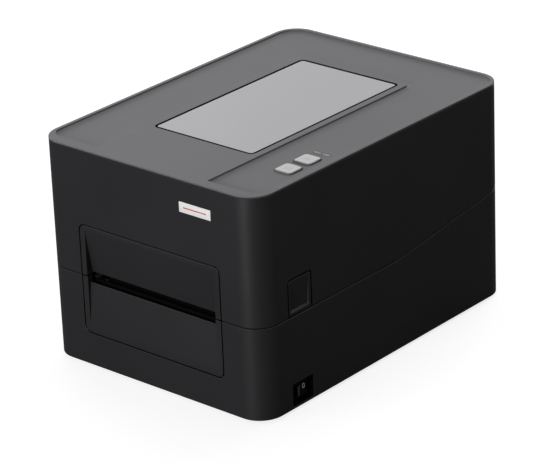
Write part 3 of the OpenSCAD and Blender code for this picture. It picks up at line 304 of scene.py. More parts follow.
def board_tracks() -> bpy.types.NodeTree:
    """Solder mask over copper tracks.

    Returns:
        A group with a colour, a roughness and a height.
    """
    group, sheet, source, sink = open_group(
        "board_tracks",
        (GroupSocket("Mask", "Color", (0.02, 0.12, 0.05, 1)), GroupSocket("Track", "Color", (0.05, 0.25, 0.1, 1))),
        SURFACE_OUTPUTS)
    bricks = sheet.add("TexBrick", offset=0.37, squash=0.8)
    sheet.join(sheet.object_point(), bricks.inputs["Vector"])
    sheet.join(source.outputs["Mask"], bricks.inputs["Color1"])
    sheet.join(source.outputs["Mask"], bricks.inputs["Color2"])
    sheet.join(source.outputs["Track"], bricks.inputs["Mortar"])
    for name, value in (("Scale", 1.0), ("Mortar Size", 0.0004), ("Brick Width", 0.0112), ("Row Height", 0.0031)):
        bricks.inputs[name].default_value = value
    sheet.join(bricks.outputs["Color"], sink.inputs["Colour"])
    sheet.join(sheet.scaled(bricks.outputs["Fac"], 0.28, 0.4), sink.inputs["Roughness"])
    sheet.join(bricks.outputs["Fac"], sink.inputs["Height"])
    return group


class GroupShelf:
    """Builds each shared node group once and hands it out."""

    makers: ClassVar[dict[str, Callable[[], bpy.types.NodeTree]]] = {
        "moulded_grain": moulded_grain, "drawn_lines": drawn_lines, "board_tracks": board_tracks}
    made: ClassVar[dict[str, bpy.types.NodeTree]] = {}

    @classmethod
    def get(cls, name: str) -> bpy.types.NodeTree:
        """The node group of that name, made on its first use."""
        if name not in cls.made:
            cls.made[name] = cls.makers[name]()
        return cls.made[name]


# ---------------------------------------------------------------- finishes


@dataclass(frozen=True)
class Finish:
    """A surface finish that the pieces share."""

    name: str
    colour: Colour
    roughness: float = 0.5
    metallic: float = 0.0
    relief: float = 0.15
    specular: float = 0.5
    coat: float = 0.0

    group_name: ClassVar[str] = "moulded_grain"
    made: ClassVar[dict[str, bpy.types.Material]] = {}

    def group_values(self) -> dict[str, object]:
        """Values that the finish gives to its node group."""
        return {"Colour": (*self.colour, 1.0), "Roughness": self.roughness}

    def material(self) -> bpy.types.Material:
        """Build the finish's material on its first use.

        Returns:
            The material, shared by every piece with this finish.
        """
        if self.name not in self.made:
            self.made[self.name] = self.build_material()
        return self.made[self.name]

    def build_material(self) -> bpy.types.Material:
        """Build the finish's material from its node group.

        Returns:
            The new material.
        """
        material = bpy.data.materials.new(self.name + "_finish")
        material.use_nodes = True
        sheet = NodeSheet(material.node_tree)
        shader = material.node_tree.nodes["Principled BSDF"]
        effect = sheet.add("Group")
        effect.node_tree = GroupShelf.get(self.group_name)
        for name, value in self.group_values().items():
            effect.inputs[name].default_value = value
        sheet.join(effect.outputs["Colour"], shader.inputs["Base Color"])
        sheet.join(effect.outputs["Roughness"], shader.inputs["Roughness"])
        bump = sheet.add("Bump")
        bump.inputs["Strength"].default_value = self.relief
        bump.inputs["Distance"].default_value = RELIEF_DEPTH
        sheet.join(effect.outputs["Height"], bump.inputs["Height"])
        sheet.join(bump.outputs["Normal"], shader.inputs["Normal"])
        shader.inputs["Metallic"].default_value = self.metallic
        shader.inputs["Specular IOR Level"].default_value = self.specular
        shader.inputs["Coat Weight"].default_value = self.coat
        return material


@dataclass(frozen=True)
class MouldedPlastic(Finish):
    """Injection-moulded plastic with an eroded grain."""

    grain_scale: float = 1800.0
    grain_tint: float = 0.12
    mottle: float = 0.06

    def group_values(self) -> dict[str, object]:
        """Values of the grain group."""
        return {**super().group_values(), "Grain Scale": self.grain_scale, "Grain Tint": self.grain_tint,
                "Mottle": self.mottle}


@dataclass(frozen=True)
class Metal(Finish):
    """Rolled, drawn or turned metal."""

    metallic: float = 1.0
    line_scale: float = 40.0
    contrast: float = 0.15

    group_name: ClassVar[str] = "drawn_lines"

    def group_values(self) -> dict[str, object]:
        """Values of the line group."""
        return {**super().group_values(), "Line Scale": self.line_scale, "Contrast": self.contrast}


@dataclass(frozen=True)
class CircuitBoard(Finish):
    """Solder mask over tracks."""

    track: Colour = (0.05, 0.22, 0.1)

    group_name: ClassVar[str] = "board_tracks"

    def group_values(self) -> dict[str, object]:
        """Values of the track group."""
        return {"Mask": (*self.colour, 1.0), "Track": (*self.track, 1.0)}


HOUSING = MouldedPlastic("housing_black", srgb(39, 38, 40), 0.38, relief=0.2, specular=0.25)
# Painted shade: near-black for faces inside gaps, the switch's pocket, behind the recess and round the buttons.
GAP_SHADE = MouldedPlastic("gap_black", (0.002, 0.002, 0.002), 0.9, relief=0.0, specular=0.0, grain_tint=0.02, mottle=0.02)
# Painted shade on the recess's upright end walls.
RECESS_END_SHADE = MouldedPlastic("recess_end_black", srgb(20, 20, 21), 0.5, relief=0.2, specular=0.15)
TOP = MouldedPlastic("top_grey", srgb(106, 106, 108), 0.6, relief=0.2, specular=0.1, grain_tint=0.08)
# Painted highlight: the rim's top is the top grey made lighter where the rim catches the light.
RIM_HIGHLIGHT = MouldedPlastic("rim_grey", srgb(118, 118, 120), 0.5, relief=0.15, specular=0.15, grain_tint=0.06)
PANE = MouldedPlastic("window_grey", srgb(172, 172, 174), 0.45, relief=0.0, specular=0.15, grain_tint=0.02,
                      mottle=0.02)
# Painted shade: near-black of the gap between the pane and the panel, on the joint ring.
PANE_JOINT_SHADE = MouldedPlastic("joint_black", (0.004, 0.004, 0.004), 0.9, specular=0.0)
KEY = MouldedPlastic("key_grey", srgb(184, 184, 184), 0.45, relief=0.1, grain_tint=0.05)
# Painted shade: the key grey darkened for the caps' sides.
KEY_SIDE_SHADE = MouldedPlastic("key_side_grey", srgb(104, 104, 105), 0.6, relief=0.1, specular=0.1)
ICON = MouldedPlastic("icon_grey", srgb(168, 168, 169), 0.5, relief=0.05)
LENS = MouldedPlastic("lens_smoke", srgb(122, 122, 123), 0.5, relief=0.0, specular=0.1, grain_tint=0.03)
LENS_EDGE = MouldedPlastic("lens_edge", srgb(58, 58, 59), 0.6, relief=0.0, specular=0.1, grain_tint=0.03)
PIPE = MouldedPlastic("light_pipe", srgb(136, 136, 136), 0.4, relief=0.0, specular=0.15, grain_tint=0.03)
BADGE = MouldedPlastic("badge_white", srgb(244, 244, 243), 0.35, relief=0.02, grain_tint=0.02, mottle=0.01)
STRIPE = MouldedPlastic("badge_red", srgb(208, 52, 40), 0.35, relief=0.02, grain_tint=0.02, mottle=0.02)
SWITCH = MouldedPlastic("switch_black", srgb(9, 9, 10), 0.45, relief=0.05, grain_tint=0.05, specular=0.1)
# Painted highlight: lighter grey on the proud ON half of the rocker, with a coarser grain.
ROCKER_HIGHLIGHT = MouldedPlastic("rocker_grip", srgb(66, 66, 68), 0.4, relief=0.4, grain_tint=0.3, grain_scale=700.0)
FAINT_MARK = MouldedPlastic("switch_mark_faint", srgb(104, 104, 106), 0.4, relief=0.02)
SWITCH_MARK = MouldedPlastic("switch_mark", srgb(226, 226, 226), 0.4, relief=0.02)
INNER = MouldedPlastic("inner_black", srgb(40, 40, 41), 0.5, relief=0.3, grain_scale=1200.0)
HOLDER = MouldedPlastic("holder_grey", srgb(66, 67, 69), 0.45, relief=0.2)
GEAR = MouldedPlastic("acetal", srgb(222, 218, 206), 0.35, relief=0.05, grain_tint=0.04)
BLACK_GEAR = MouldedPlastic("black_acetal", srgb(20, 20, 21), 0.45, relief=0.05, grain_tint=0.04, specular=0.2)
FOOT = MouldedPlastic("foot_rubber", srgb(30, 30, 30), 0.8, relief=0.4, grain_scale=900.0)
PLATEN = MouldedPlastic("platen_rubber", srgb(9, 9, 10), 0.85, relief=0.15, grain_scale=2600.0, specular=0.02)
CERAMIC = MouldedPlastic("glazed_ceramic", srgb(214, 208, 194), 0.15, relief=0.02, coat=0.5)
SHEET_STEEL = Metal("zinc_plate", srgb(172, 175, 178), 0.36)
SHAFT_STEEL = Metal("ground_steel", srgb(196, 198, 200), 0.22, line_scale=70.0, contrast=0.08)
WIRE = Metal("spring_wire", srgb(180, 181, 184), 0.28, contrast=0.1)
BLACKENED = Metal("blackened_steel", srgb(6, 6, 7), 0.65, metallic=0.3, contrast=0.2, specular=0.05)
MOTOR = Metal("motor_case", srgb(58, 59, 62), 0.45, contrast=0.12)
BRASS = Metal("turned_brass", srgb(201, 166, 92), 0.28, contrast=0.1)
HEAD = Metal("extruded_aluminium", srgb(178, 181, 184), 0.4, contrast=0.12)
BOARD = CircuitBoard("solder_mask", srgb(22, 84, 48), 0.3, coat=0.3, relief=0.3)


# ---------------------------------------------------------------- mesh helpers


def give(piece: bpy.types.Object, finish: Finish) -> None:
    """Give a piece one finish all over."""
    piece.data.materials.clear()
    piece.data.materials.append(finish.material())


def smooth_by_angle(bm: bmesh.types.BMesh, degrees: float = 32.0) -> None:
    """Shade a mesh smooth except at its sharp edges.

    Args:
        bm: The mesh.
        degrees: Angle from which an edge is sharp.
    """
    limit = math.radians(degrees)
    for face in bm.faces:
        face.smooth = True
    for edge in bm.edges:
        edge.smooth = len(edge.link_faces) == 2 and edge.calc_face_angle(0.0) < limit


def new_piece(name: str, bm: bmesh.types.BMesh, node: str, finish: Finish) -> bpy.types.Object:
    """Turn a bmesh into a piece that rides with a CAD node.

    Args:
        name: The piece's name.
        bm: Its mesh, in the frame's place; it is freed.
        node: The CAD node that gives its body.
        finish: Its finish.

    Returns:
        The new object.
    """
    mesh = bpy.data.meshes.new(name)
    bm.to_mesh(mesh)
    bm.free()
    piece = bpy.data.objects.new(name, mesh)
    bpy.context.scene.collection.objects.link(piece)
    give(piece, finish)
    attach(piece, frame["nodes"][node]["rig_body"])
    log.info("piece %s rides with %s", name, node)
    return piece


def flatten_faces(piece: bpy.types.Object) -> None:
    """Let the large faces of a piece keep their own normals."""
    weighted = piece.modifiers.new("flat_faces", "WEIGHTED_NORMAL")
    weighted.keep_sharp = True
    weighted.weight = FACE_WEIGHT


def bevel_modifier(piece: bpy.types.Object, width: float, segments: int = 2, degrees: float = 35.0) -> None:
    """Round a piece's sharp edges.

    Args:
        piece: The piece.
        width: Width of the round.
        segments: Faces across it.
        degrees: Angle from which an edge is rounded.
    """
    bevel = piece.modifiers.new("edge_round", "BEVEL")
    bevel.width = width
    bevel.segments = segments
    bevel.limit_method = "ANGLE"
    bevel.angle_limit = math.radians(degrees)
    bevel.use_clamp_overlap = False
    flatten_faces(piece)


def merged_mesh(node: str) -> bmesh.types.BMesh:
    """A CAD node's faces as one welded mesh with whole flat faces.

    Args:
        node: The CAD node.

    Returns:
        The welded mesh.
    """
    bm = bmesh.new()
    bm.from_mesh(frame["nodes"][node].data)
    bmesh.ops.remove_doubles(bm, verts=bm.verts, dist=WELD_DISTANCE)
    bmesh.ops.dissolve_degenerate(bm, edges=bm.edges, dist=SHORTEST_EDGE)
    bmesh.ops.dissolve_limit(bm, angle_limit=math.radians(FLAT_ANGLE), verts=bm.verts, edges=bm.edges,
                             use_dissolve_boundaries=False)
    return bm


def softened(node: str, finish: Finish, width: float, segments: int = 2) -> bpy.types.Object:
    """Replace a CAD node by a welded copy with rounded edges.

    Args:
        node: The CAD node.
        finish: The copy's finish.
        width: Width of the rounded edges.
        segments: Faces across each round.

    Returns:
        The copy, which stands for the node.
    """
    bm = merged_mesh(node)
    smooth_by_angle(bm)
    piece = new_piece(node + "_moulding", bm, node, finish)
    bevel_modifier(piece, width, segments)
    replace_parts(piece, node)
    return piece


def recolour(piece: bpy.types.Object, finish: Finish, chosen: Callable[[Vector, Vector], bool]) -> None:
    """Give some faces of a piece a second finish.

    Args:
        piece: The piece.
        finish: The second finish.
        chosen: Says from a face's middle and normal whether it gets that finish.
    """
    piece.data.materials.append(finish.material())
    second = len(piece.data.materials) - 1
    for face in piece.data.polygons:
        if chosen(face.center, face.normal):
            face.material_index = second


def dress(nodes: Iterable[str], finish: Finish) -> None:
    """Give CAD nodes a finish and keep their shapes."""
    for node in nodes:
        give(frame["nodes"][node], finish)
        log.info("node %s is finished as %s", node, finish.name)


def coil_spring(node: str) -> None:
    """Replace a spring by a welded copy in spring wire.

    Args:
        node: The spring's CAD node.
    """
    bm = merged_mesh(node)
    smooth_by_angle(bm)
    coils = new_piece(node + "_coils", bm, node, WIRE)
    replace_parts(coils, node)
    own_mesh(coils)


def rounded_outline(bm: bmesh.types.BMesh, centre: Point, size: tuple[float, float], radius: float,
                    steps: int = 6) -> list[bmesh.types.BMVert]:
    """Vertices round an upright rounded rectangle, in order.

    Args:
        bm: The mesh that gets them.
        centre: Middle of the rectangle.
        size: Its width along X and its depth along Y.
        radius: Radius of its corners.
        steps: Faces round each corner.

    Returns:
        The vertices, anticlockwise from above.
    """
    half_x, half_y = size[0] / 2 - radius, size[1] / 2 - radius
    verts = []
    for quarter, (sign_x, sign_y) in enumerate(((1, 1), (-1, 1), (-1, -1), (1, -1))):
        for step in range(steps + 1):
            angle = math.radians(90 * (quarter + step / steps))
            verts.append(bm.verts.new((centre[0] + sign_x * half_x + radius * math.cos(angle),
                                       centre[1] + sign_y * half_y + radius * math.sin(angle), centre[2])))
    return verts


def raise_faces(bm: bmesh.types.BMesh, faces: Sequence[bmesh.types.BMFace],
                height: float) -> list[bmesh.types.BMFace]:
    """Extrude faces upwards.

    Args:
        bm: The mesh.
        faces: The faces that are raised.
        height: How far they are raised.

    Returns:
        The raised faces.
    """
    raised = bmesh.ops.extrude_face_region(bm, geom=faces)["geom"]
    bmesh.ops.translate(bm, vec=(0, 0, height), verts=[item for item in raised
                                                       if isinstance(item, bmesh.types.BMVert)])
    return [item for item in raised if isinstance(item, bmesh.types.BMFace)]


def rounded_plate(centre: Point, size: tuple[float, float], radius: float, thickness: float,
                  edge: float, segments: int = 3) -> bmesh.types.BMesh:
    """A flat plate with round corners and a rounded upper edge.

    Args:
        centre: Middle of its underside.
        size: Its width along X and its depth along Y.
        radius: Radius of its corners.
        thickness: Its height.
        edge: Radius of its upper edge.
        segments: Faces across that edge.

    Returns:
        The plate's closed mesh.
    """
    bm = bmesh.new()
    base = bm.faces.new(rounded_outline(bm, centre, size, radius))
    top_faces = raise_faces(bm, [base], thickness)
    rim = [side for face in top_faces for side in face.edges]
    bmesh.ops.bevel(bm, geom=rim, offset=edge, offset_type="OFFSET", segments=segments, profile=0.5,
                    affect="EDGES", material=-1)
    bmesh.ops.recalc_face_normals(bm, faces=bm.faces)
    smooth_by_angle(bm)
    return bm


def rounded_ring(centre: Point, size: tuple[float, float], radius: float, width: float,
                 thickness: float) -> bmesh.types.BMesh:
    """A flat ring with round corners.

    Args:
        centre: Middle of its underside.
        size: Its outer width along X and depth along Y.
        radius: Radius of its outer corners.
        width: Width of the ring itself.
        thickness: Its height.

    Returns:
        The ring's closed mesh.
    """
    bm = bmesh.new()
    face = bm.faces.new(rounded_outline(bm, centre, size, radius))
    face.normal_update()
    ring = bmesh.ops.inset_region(bm, faces=[face], thickness=width, use_boundary=True,
                                  use_even_offset=True)["faces"]
    bmesh.ops.delete(bm, geom=[face], context="FACES_ONLY")
    raise_faces(bm, ring, thickness)
    bmesh.ops.recalc_face_normals(bm, faces=bm.faces)
    smooth_by_angle(bm)
    return bm


# ---------------------------------------------------------------- housing


@dataclass(frozen=True)
class Outline:
    """The housing's upright outline, a rounded rectangle."""

    half_width: float = 107 * MM
    half_depth: float = 147.5 * MM
    corner: float = 20 * MM

    def depth(self, point: Vector) -> float:
        """How far a point lies inside the outline."""
        across = abs(point.x) - (self.half_width - self.corner)
        along = abs(point.y) - (self.half_depth - self.corner)
        beyond = math.hypot(max(across, 0.0), max(along, 0.0))
        return self.corner - beyond - min(max(across, along), 0.0)


OUTLINE = Outline()


@dataclass
class Housing:
    """The two half shells, their feet and the front recess."""

    edge: float = 0.25 * MM
    recess_edge: float = 0.3 * MM
    foot_edge: float = 0.4 * MM
    wall: float = 2.5 * MM
    skin: float = 0.4 * MM
    inner_skin: float = 0.2 * MM
    upper_lip: float = 6.3 * MM
    lower_lip: float = 3.5 * MM
    recess_half_width: float = 64.2 * MM
    pocket_low: Point = (101.5 * MM, -115 * MM, 4 * MM)
    pocket_high: Point = (106.6 * MM, -91 * MM, 23.2 * MM)

    def build(self) -> None:
        """Soften the shells, the recess panels and the feet, with painted shade in their gaps and on the recess's
        end walls.
        """
        for node in ("base_tub", "lid_shell"):
            # Faces deep in the walls and in the switch's pocket get painted shade.
            recolour(softened(node, HOUSING, self.edge), GAP_SHADE, self.in_a_gap)
        for node, lip in (("upper_front_bezel", self.upper_lip), ("lower_front_bezel", self.lower_lip)):
            panel = softened(node, HOUSING, self.recess_edge)
            # The recess panels' hidden faces get painted shade, their end walls a lighter painted shade.
            recolour(panel, GAP_SHADE, lambda middle, normal, lip=lip: self.behind_the_recess(middle, normal, lip))
            recolour(panel, RECESS_END_SHADE, self.end_of_recess)
        softened("rubber_feet", FOOT, self.foot_edge)

    def in_a_gap(self, middle: Vector, normal: Vector) -> bool:
        """Whether a face lies in the thickness of the wall, or in the switch's pocket, where painted shade goes."""
        if all(low < value < high for low, value, high in zip(self.pocket_low, middle, self.pocket_high)):
            return True
        return self.skin < OUTLINE.depth(middle) < self.wall - self.inner_skin

    def behind_the_recess(self, middle: Vector, normal: Vector, lip: float) -> bool:
        """Whether a face of a recess panel is neither its front nor its slope, and so gets painted shade.

        Args:
            middle: The face's middle.
            normal: The face's normal.
            lip: Depth behind which the panel isn't seen.

        Returns:
            True for its flange, its back and its outer sides.
        """
        behind = middle.y + OUTLINE.half_depth
        if behind > lip:
            return True
        in_recess = abs(middle.x) < self.recess_half_width
        return behind > self.skin and (not in_recess or normal.y > 0.1)

    def end_of_recess(self, middle: Vector, normal: Vector) -> bool:
        """Whether a face is an upright end wall of the recess, which gets painted shade."""
        return abs(normal.x) > 0.9 and abs(middle.x) < self.recess_half_width and (
            0 < middle.y + OUTLINE.half_depth < self.upper_lip)


@dataclass
class Badge:
    """The plain white plate on the lid's front."""

    proud: float = 0.15 * MM
    corner: float = 0.4 * MM
    plate_edge: float = 0.08 * MM
    stripe_height: float = 0.9 * MM
    stripe_inset: float = 4.0 * MM
    stripe_corner: float = 0.3 * MM
    stripe_proud: float = 0.03 * MM

    def build(self) -> None:
        """Add the plate and its plain stripe."""
        low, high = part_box("badge_plate")
        thickness = high.y - low.y + self.proud
        plate = self.face_plate(low, high, self.corner, thickness)
        piece = new_piece("badge_face", plate, "badge_plate", BADGE)
        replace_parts(piece, "badge_plate")
        middle = (low.z + high.z) / 2
        stripe_low = Vector((low.x + self.stripe_inset, low.y, middle - self.stripe_height / 2))
        stripe_high = Vector((high.x - self.stripe_inset, high.y, middle + self.stripe_height / 2))
        stripe = self.face_plate(stripe_low, stripe_high, self.stripe_corner, thickness + self.stripe_proud)
        new_piece("badge_stripe", stripe, "badge_plate", STRIPE)

    def face_plate(self, low: Vector, high: Vector, corner: float, depth: float) -> bmesh.types.BMesh:
        """A plate that stands on the lid's front and faces -Y.

        Args:
            low: Lowest corner of its place.
            high: Highest corner of its place.
            corner: Radius of its corners.
            depth: Its thickness.

        Returns:
            The plate's mesh.
        """
        bm = rounded_plate((0, 0, 0), (high.x - low.x, high.z - low.z), corner, depth, self.plate_edge, 2)
        place = (Matrix.Translation(((low.x + high.x) / 2, high.y, (low.z + high.z) / 2))
                 @ Matrix.Rotation(math.radians(90), 4, "X"))
        bmesh.ops.transform(bm, matrix=place, verts=bm.verts)
        return bm


# ---------------------------------------------------------------- top


@dataclass
class TopDeck:
    """The grey top with its pane and the joint round it."""

    pane_edge: float = 0.6 * MM
    pane_corner: float = 3.0 * MM
    joint_width: float = 1.65 * MM
    joint_lap: float = 0.15 * MM
    joint_proud: float = 0.03 * MM
    lip_level: float = 178.95 * MM
    edge_level: float = 179.35 * MM
    rim_reach: float = 9.1 * MM
    tolerance: float = 0.1 * MM

    def build(self) -> None:
        """Add the panel, the pane and the joint round it."""
        self.panel()
        self.pane()

    def panel(self) -> None:
        """The welded panel, with painted shade on its underside and outer side and a painted highlight on its rim's
        top.
        """
        bm = merged_mesh("top_panel")
        # Material 1 is painted shade on the outer side band and the underside, material 2 a painted highlight on the
        # rim's top.
        for face in bm.faces:
            levels = [vert.co.z for vert in face.verts]
            depths = [OUTLINE.depth(vert.co) for vert in face.verts]
            outer_side = max(levels) < self.edge_level + self.tolerance and max(depths) < self.tolerance
            if outer_side or (max(levels) < self.lip_level + self.tolerance and face.normal.z < 0.5):
                face.material_index = 1
            elif min(levels) > self.edge_level and max(depths) < self.rim_reach:
                face.material_index = 2
        smooth_by_angle(bm)
        panel = new_piece("top_panel_moulding", bm, "top_panel", TOP)
        panel.data.materials.append(GAP_SHADE.material())
        panel.data.materials.append(RIM_HIGHLIGHT.material())
        flatten_faces(panel)
        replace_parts(panel, "top_panel")

    def pane(self) -> None:
        """The pane, and the joint ring whose face is flush with the panel, near-black as painted shade of the gap
        round the pane.
        """
        low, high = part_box("window_pane")
        centre = ((low.x + high.x) / 2, (low.y + high.y) / 2, low.z)
        bm = rounded_plate(centre, (high.x - low.x, high.y - low.y), self.pane_corner, high.z - low.z,
                           self.pane_edge)
        pane = new_piece("window_face", bm, "window_pane", PANE)
        flatten_faces(pane)
        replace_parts(pane, "window_pane")
        low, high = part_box("window_gasket")
        top_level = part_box("top_panel")[1].z + self.joint_proud
        size = (high.x - low.x + 2 * self.joint_lap, high.y - low.y + 2 * self.joint_lap)
        joint = rounded_ring((centre[0], centre[1], low.z), size, self.pane_corner + self.joint_width,
                             self.joint_width + self.joint_lap, top_level - low.z)
        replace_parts(new_piece("window_joint", joint, "window_gasket", PANE_JOINT_SHADE), "window_gasket")


ICON_BARS: dict[KeyIcon, tuple[tuple[float, float, float, float], ...]] = {
    # Each bar's middle, width and depth in millimetres, from the middle of the cap.
    KeyIcon.PAUSE: ((-1.2, 0, 1.0, 4.4), (1.2, 0, 1.0, 4.4)),
    KeyIcon.FEED: ((0, 1.9, 5.0, 0.7), (0, -1.9, 5.0, 0.7), (-2.15, 0, 0.7, 3.2), (2.15, 0, 0.7, 3.2)),
}


@dataclass
class Keypad:
    """The two keys and the indicator beside them."""

    cap_edge: float = 0.35 * MM
    icon_lift: float = 0.04 * MM
    lens_proud: float = 0.08 * MM
    lens_edge: float = 0.06 * MM
    lens_rim: float = 0.6 * MM
    rim_proud: float = 0.02 * MM
    rim_edge: float = 0.01 * MM
    end_margin: float = 0.05 * MM
    pipe_size: tuple[float, float] = (5.2 * MM, 2.0 * MM)
    pipe_reach: float = 4.9 * MM
    pipe_proud: float = 0.04 * MM
    pipe_edge: float = 0.03 * MM
    eye_size: tuple[float, float] = (1.3 * MM, 1.0 * MM)
    keys: dict[str, KeyIcon] = field(default_factory=lambda: {"feed_key": KeyIcon.FEED, "pause_key": KeyIcon.PAUSE})

    def build(self) -> None:
        """Add the caps with painted shade on their sides, their icons and the indicator."""
        for node, icon in self.keys.items():
            low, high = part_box(node)
            cap = softened(node, KEY, self.cap_edge, 3)
            # The caps' sides get painted shade.
            recolour(cap, KEY_SIDE_SHADE, lambda middle, normal: abs(normal.z) < 0.5)
            centre = Vector(((low.x + high.x) / 2, (low.y + high.y) / 2, high.z))
            new_piece(node + "_icon", self.icon(icon, centre), node, ICON)
        self.indicator()

    def icon(self, icon: KeyIcon, centre: Vector) -> bmesh.types.BMesh:
        """A thin inlaid icon on a cap.

        Args:
            icon: Which icon.
            centre: Middle of the cap's top.

        Returns:
            The icon's mesh.
        """
        bm = bmesh.new()
        for x, y, width, depth in ICON_BARS[icon]:
            made = bmesh.ops.create_cube(bm, size=1.0)["verts"]
            bmesh.ops.scale(bm, vec=(width * MM, depth * MM, self.icon_lift * 2), verts=made)
            bmesh.ops.translate(bm, vec=centre + Vector((x * MM, y * MM, 0)), verts=made)
        return bm

    def indicator(self) -> None:
        """The long lens, its dark rim, the two light pipes under it and the sensor between them."""
        low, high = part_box("led_lens")
        middle = Vector(((low.x + high.x) / 2, (low.y + high.y) / 2, low.z))
        width, depth, height = high.x - low.x, high.y - low.y, high.z - low.z
        rim = rounded_plate(middle, (width + 2 * self.lens_rim, depth + 2 * self.lens_rim),
                            depth / 2 + self.lens_rim - self.end_margin, height + self.rim_proud, self.rim_edge, 1)
        new_piece("indicator_rim", rim, "led_lens", LENS_EDGE)
        lens = rounded_plate(middle, (width, depth), depth / 2 - self.end_margin, height + self.lens_proud,
                             self.lens_edge, 2)
        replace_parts(new_piece("indicator_lens", lens, "led_lens", LENS), "led_lens")
        top = height + self.lens_proud + self.pipe_proud
        for side in Side:
            place = middle + Vector((side.value * self.pipe_reach, 0, 0))
            pipe = rounded_plate(place, self.pipe_size, self.pipe_size[1] / 2 - self.end_margin, top,
                                 self.pipe_edge, 2)
            new_piece(f"indicator_pipe_{side.name.lower()}", pipe, "led_lens", PIPE)
        eye = rounded_plate(middle, self.eye_size, self.eye_size[1] / 2 - self.end_margin, top, self.pipe_edge, 2)
        new_piece("indicator_eye", eye, "led_lens", LENS_EDGE)


# ---------------------------------------------------------------- latches and switch


@dataclass
class Latches:
    """The two lid release buttons and their springs."""

    edge: float = 0.35 * MM
    face_x: float = 105.0 * MM
    back_x: float = 99.2 * MM
    skin: float = 0.3 * MM
    spring_seat: float = 90 * MM
    spring_keep: float = 0.68

    def build(self) -> None:
        """Soften both buttons and replace their springs by welded copies."""
        for side in Side:
            word = side.name.lower()
            button = softened(f"latch_button_{word}", HOUSING, self.edge)
            front = [corner.co for corner in button.data.vertices if abs(corner.co.x) > self.face_x]
            sides = [pick(point[axis] for point in front) for axis in (1, 2) for pick in (min, max)]
            # Faces behind the button's front and along its outline get painted shade.
            recolour(button, GAP_SHADE, lambda middle, normal, sides=sides: self.beside_the_face(middle, normal, sides))
            coil_spring(f"latch_spring_{word}")

    def beside_the_face(self, middle: Vector, normal: Vector, sides: Sequence[float]) -> bool:
        """Whether a face of a button is behind its front or on its outline, and so gets painted shade.

        Args:
            middle: The face's middle.
            normal: The face's normal.
            sides: Lowest and highest Y and Z of the button's front.

        Returns:
            True for what only shows in the gap round the button.
        """
        if abs(middle.x) < self.back_x:
            return True
        distances = [abs(middle.y - sides[0]), abs(middle.y - sides[1]),
                     abs(middle.z - sides[2]), abs(middle.z - sides[3])]
        return abs(normal.x) < 0.5 and min(distances) < self.skin


@dataclass
class PowerSwitch:
    """The rocker in the recess on the right side."""

    edge: float = 0.3 * MM
    mark_line: float = 0.5 * MM
    mark_height: float = 4.2 * MM
    mark_width: float = 2.6 * MM
    mark_reach: float = 3.0 * MM
    mark_lift: float = 1.7 * MM
    mark_thickness: float = 0.12 * MM
    mark_steps: int = 28
    bar_width: float = 0.65 * MM
    housing_edge: float = 0.25 * MM
    highlight_size: tuple[float, float] = (3.6 * MM, 8.4 * MM)
    highlight_place: tuple[float, float] = (-0.5 * MM, -0.3 * MM)
    highlight_corner: float = 1.0 * MM
    highlight_thickness: float = 0.08 * MM
    highlight_edge: float = 0.03 * MM
    face_x: float = 4.62 * MM
    tilt: float = 7.0
    face_tilt: float = 12.8

    def build(self) -> None:
        """Soften the rocker and its frame, and add the marks and a painted highlight on the ON half."""
        softened("switch_housing", SWITCH, self.housing_edge)
        softened("power_rocker", SWITCH, self.edge)
        for mark, finish in ((SwitchMark.OFF, SWITCH_MARK), (SwitchMark.ON, FAINT_MARK)):
            new_piece(f"switch_mark_{mark.value}", self.mark(mark), "power_rocker", finish)
        # Patch on the ON half whose lighter grey is a painted highlight.
        highlight_patch = rounded_plate((*self.highlight_place, 0), self.highlight_size, self.highlight_corner, self.highlight_thickness,
                             self.highlight_edge, 2)
        bmesh.ops.transform(highlight_patch, matrix=self.on_face(SwitchMark.ON), verts=highlight_patch.verts)
        new_piece("rocker_grip", highlight_patch, "power_rocker", ROCKER_HIGHLIGHT)

    def mark(self, mark: SwitchMark) -> bmesh.types.BMesh:
        """One mark, lying on its half of the rocker.

        Args:
            mark: Which mark.

        Returns:
            The mark's mesh.
        """
        bm = bmesh.new()
        if mark is SwitchMark.OFF:
            for inset in (0.0, self.mark_line):
                ring = bmesh.ops.create_circle(bm, segments=self.mark_steps, radius=1.0)["verts"]
                bmesh.ops.scale(bm, vec=(self.mark_width / 2 - inset, self.mark_height / 2 - inset, 1), verts=ring)
            bmesh.ops.bridge_loops(bm, edges=bm.edges[:])
        else:
            bar = bmesh.ops.create_grid(bm, x_segments=1, y_segments=1, size=0.5)["verts"]
            bmesh.ops.scale(bm, vec=(self.bar_width, self.mark_height, 1), verts=bar)
        raise_faces(bm, bm.faces[:], self.mark_thickness)
        bmesh.ops.recalc_face_normals(bm, faces=bm.faces)
        lift = Matrix.Translation((0, self.mark_lift if mark is SwitchMark.OFF else 0, 0))
        bmesh.ops.transform(bm, matrix=self.on_face(mark) @ lift, verts=bm.verts)
        return bm

    def on_face(self, mark: SwitchMark) -> Matrix:
        """Where a flat shape lies on one half of the rocker.

        Args:
            mark: The half that carries this mark.

        Returns:
            The matrix that takes a shape from the XY plane, upright along Y, to that half's face.
        """
        sign = 1 if mark is SwitchMark.OFF else -1
        pivot = next(joint for joint in frame["joints"] if joint["name"] == "power_switch")["pos_m"]
        upright = Matrix.Rotation(math.radians(90), 4, "Z") @ Matrix.Rotation(math.radians(90), 4, "X")
        return (Matrix.Translation(pivot) @ Matrix.Rotation(math.radians(self.tilt), 4, "Z")
                @ Matrix.Translation((self.face_x, sign * self.mark_reach, 0))
                @ Matrix.Rotation(math.radians(-sign * self.face_tilt), 4, "Z") @ upright)


# ---------------------------------------------------------------- inside


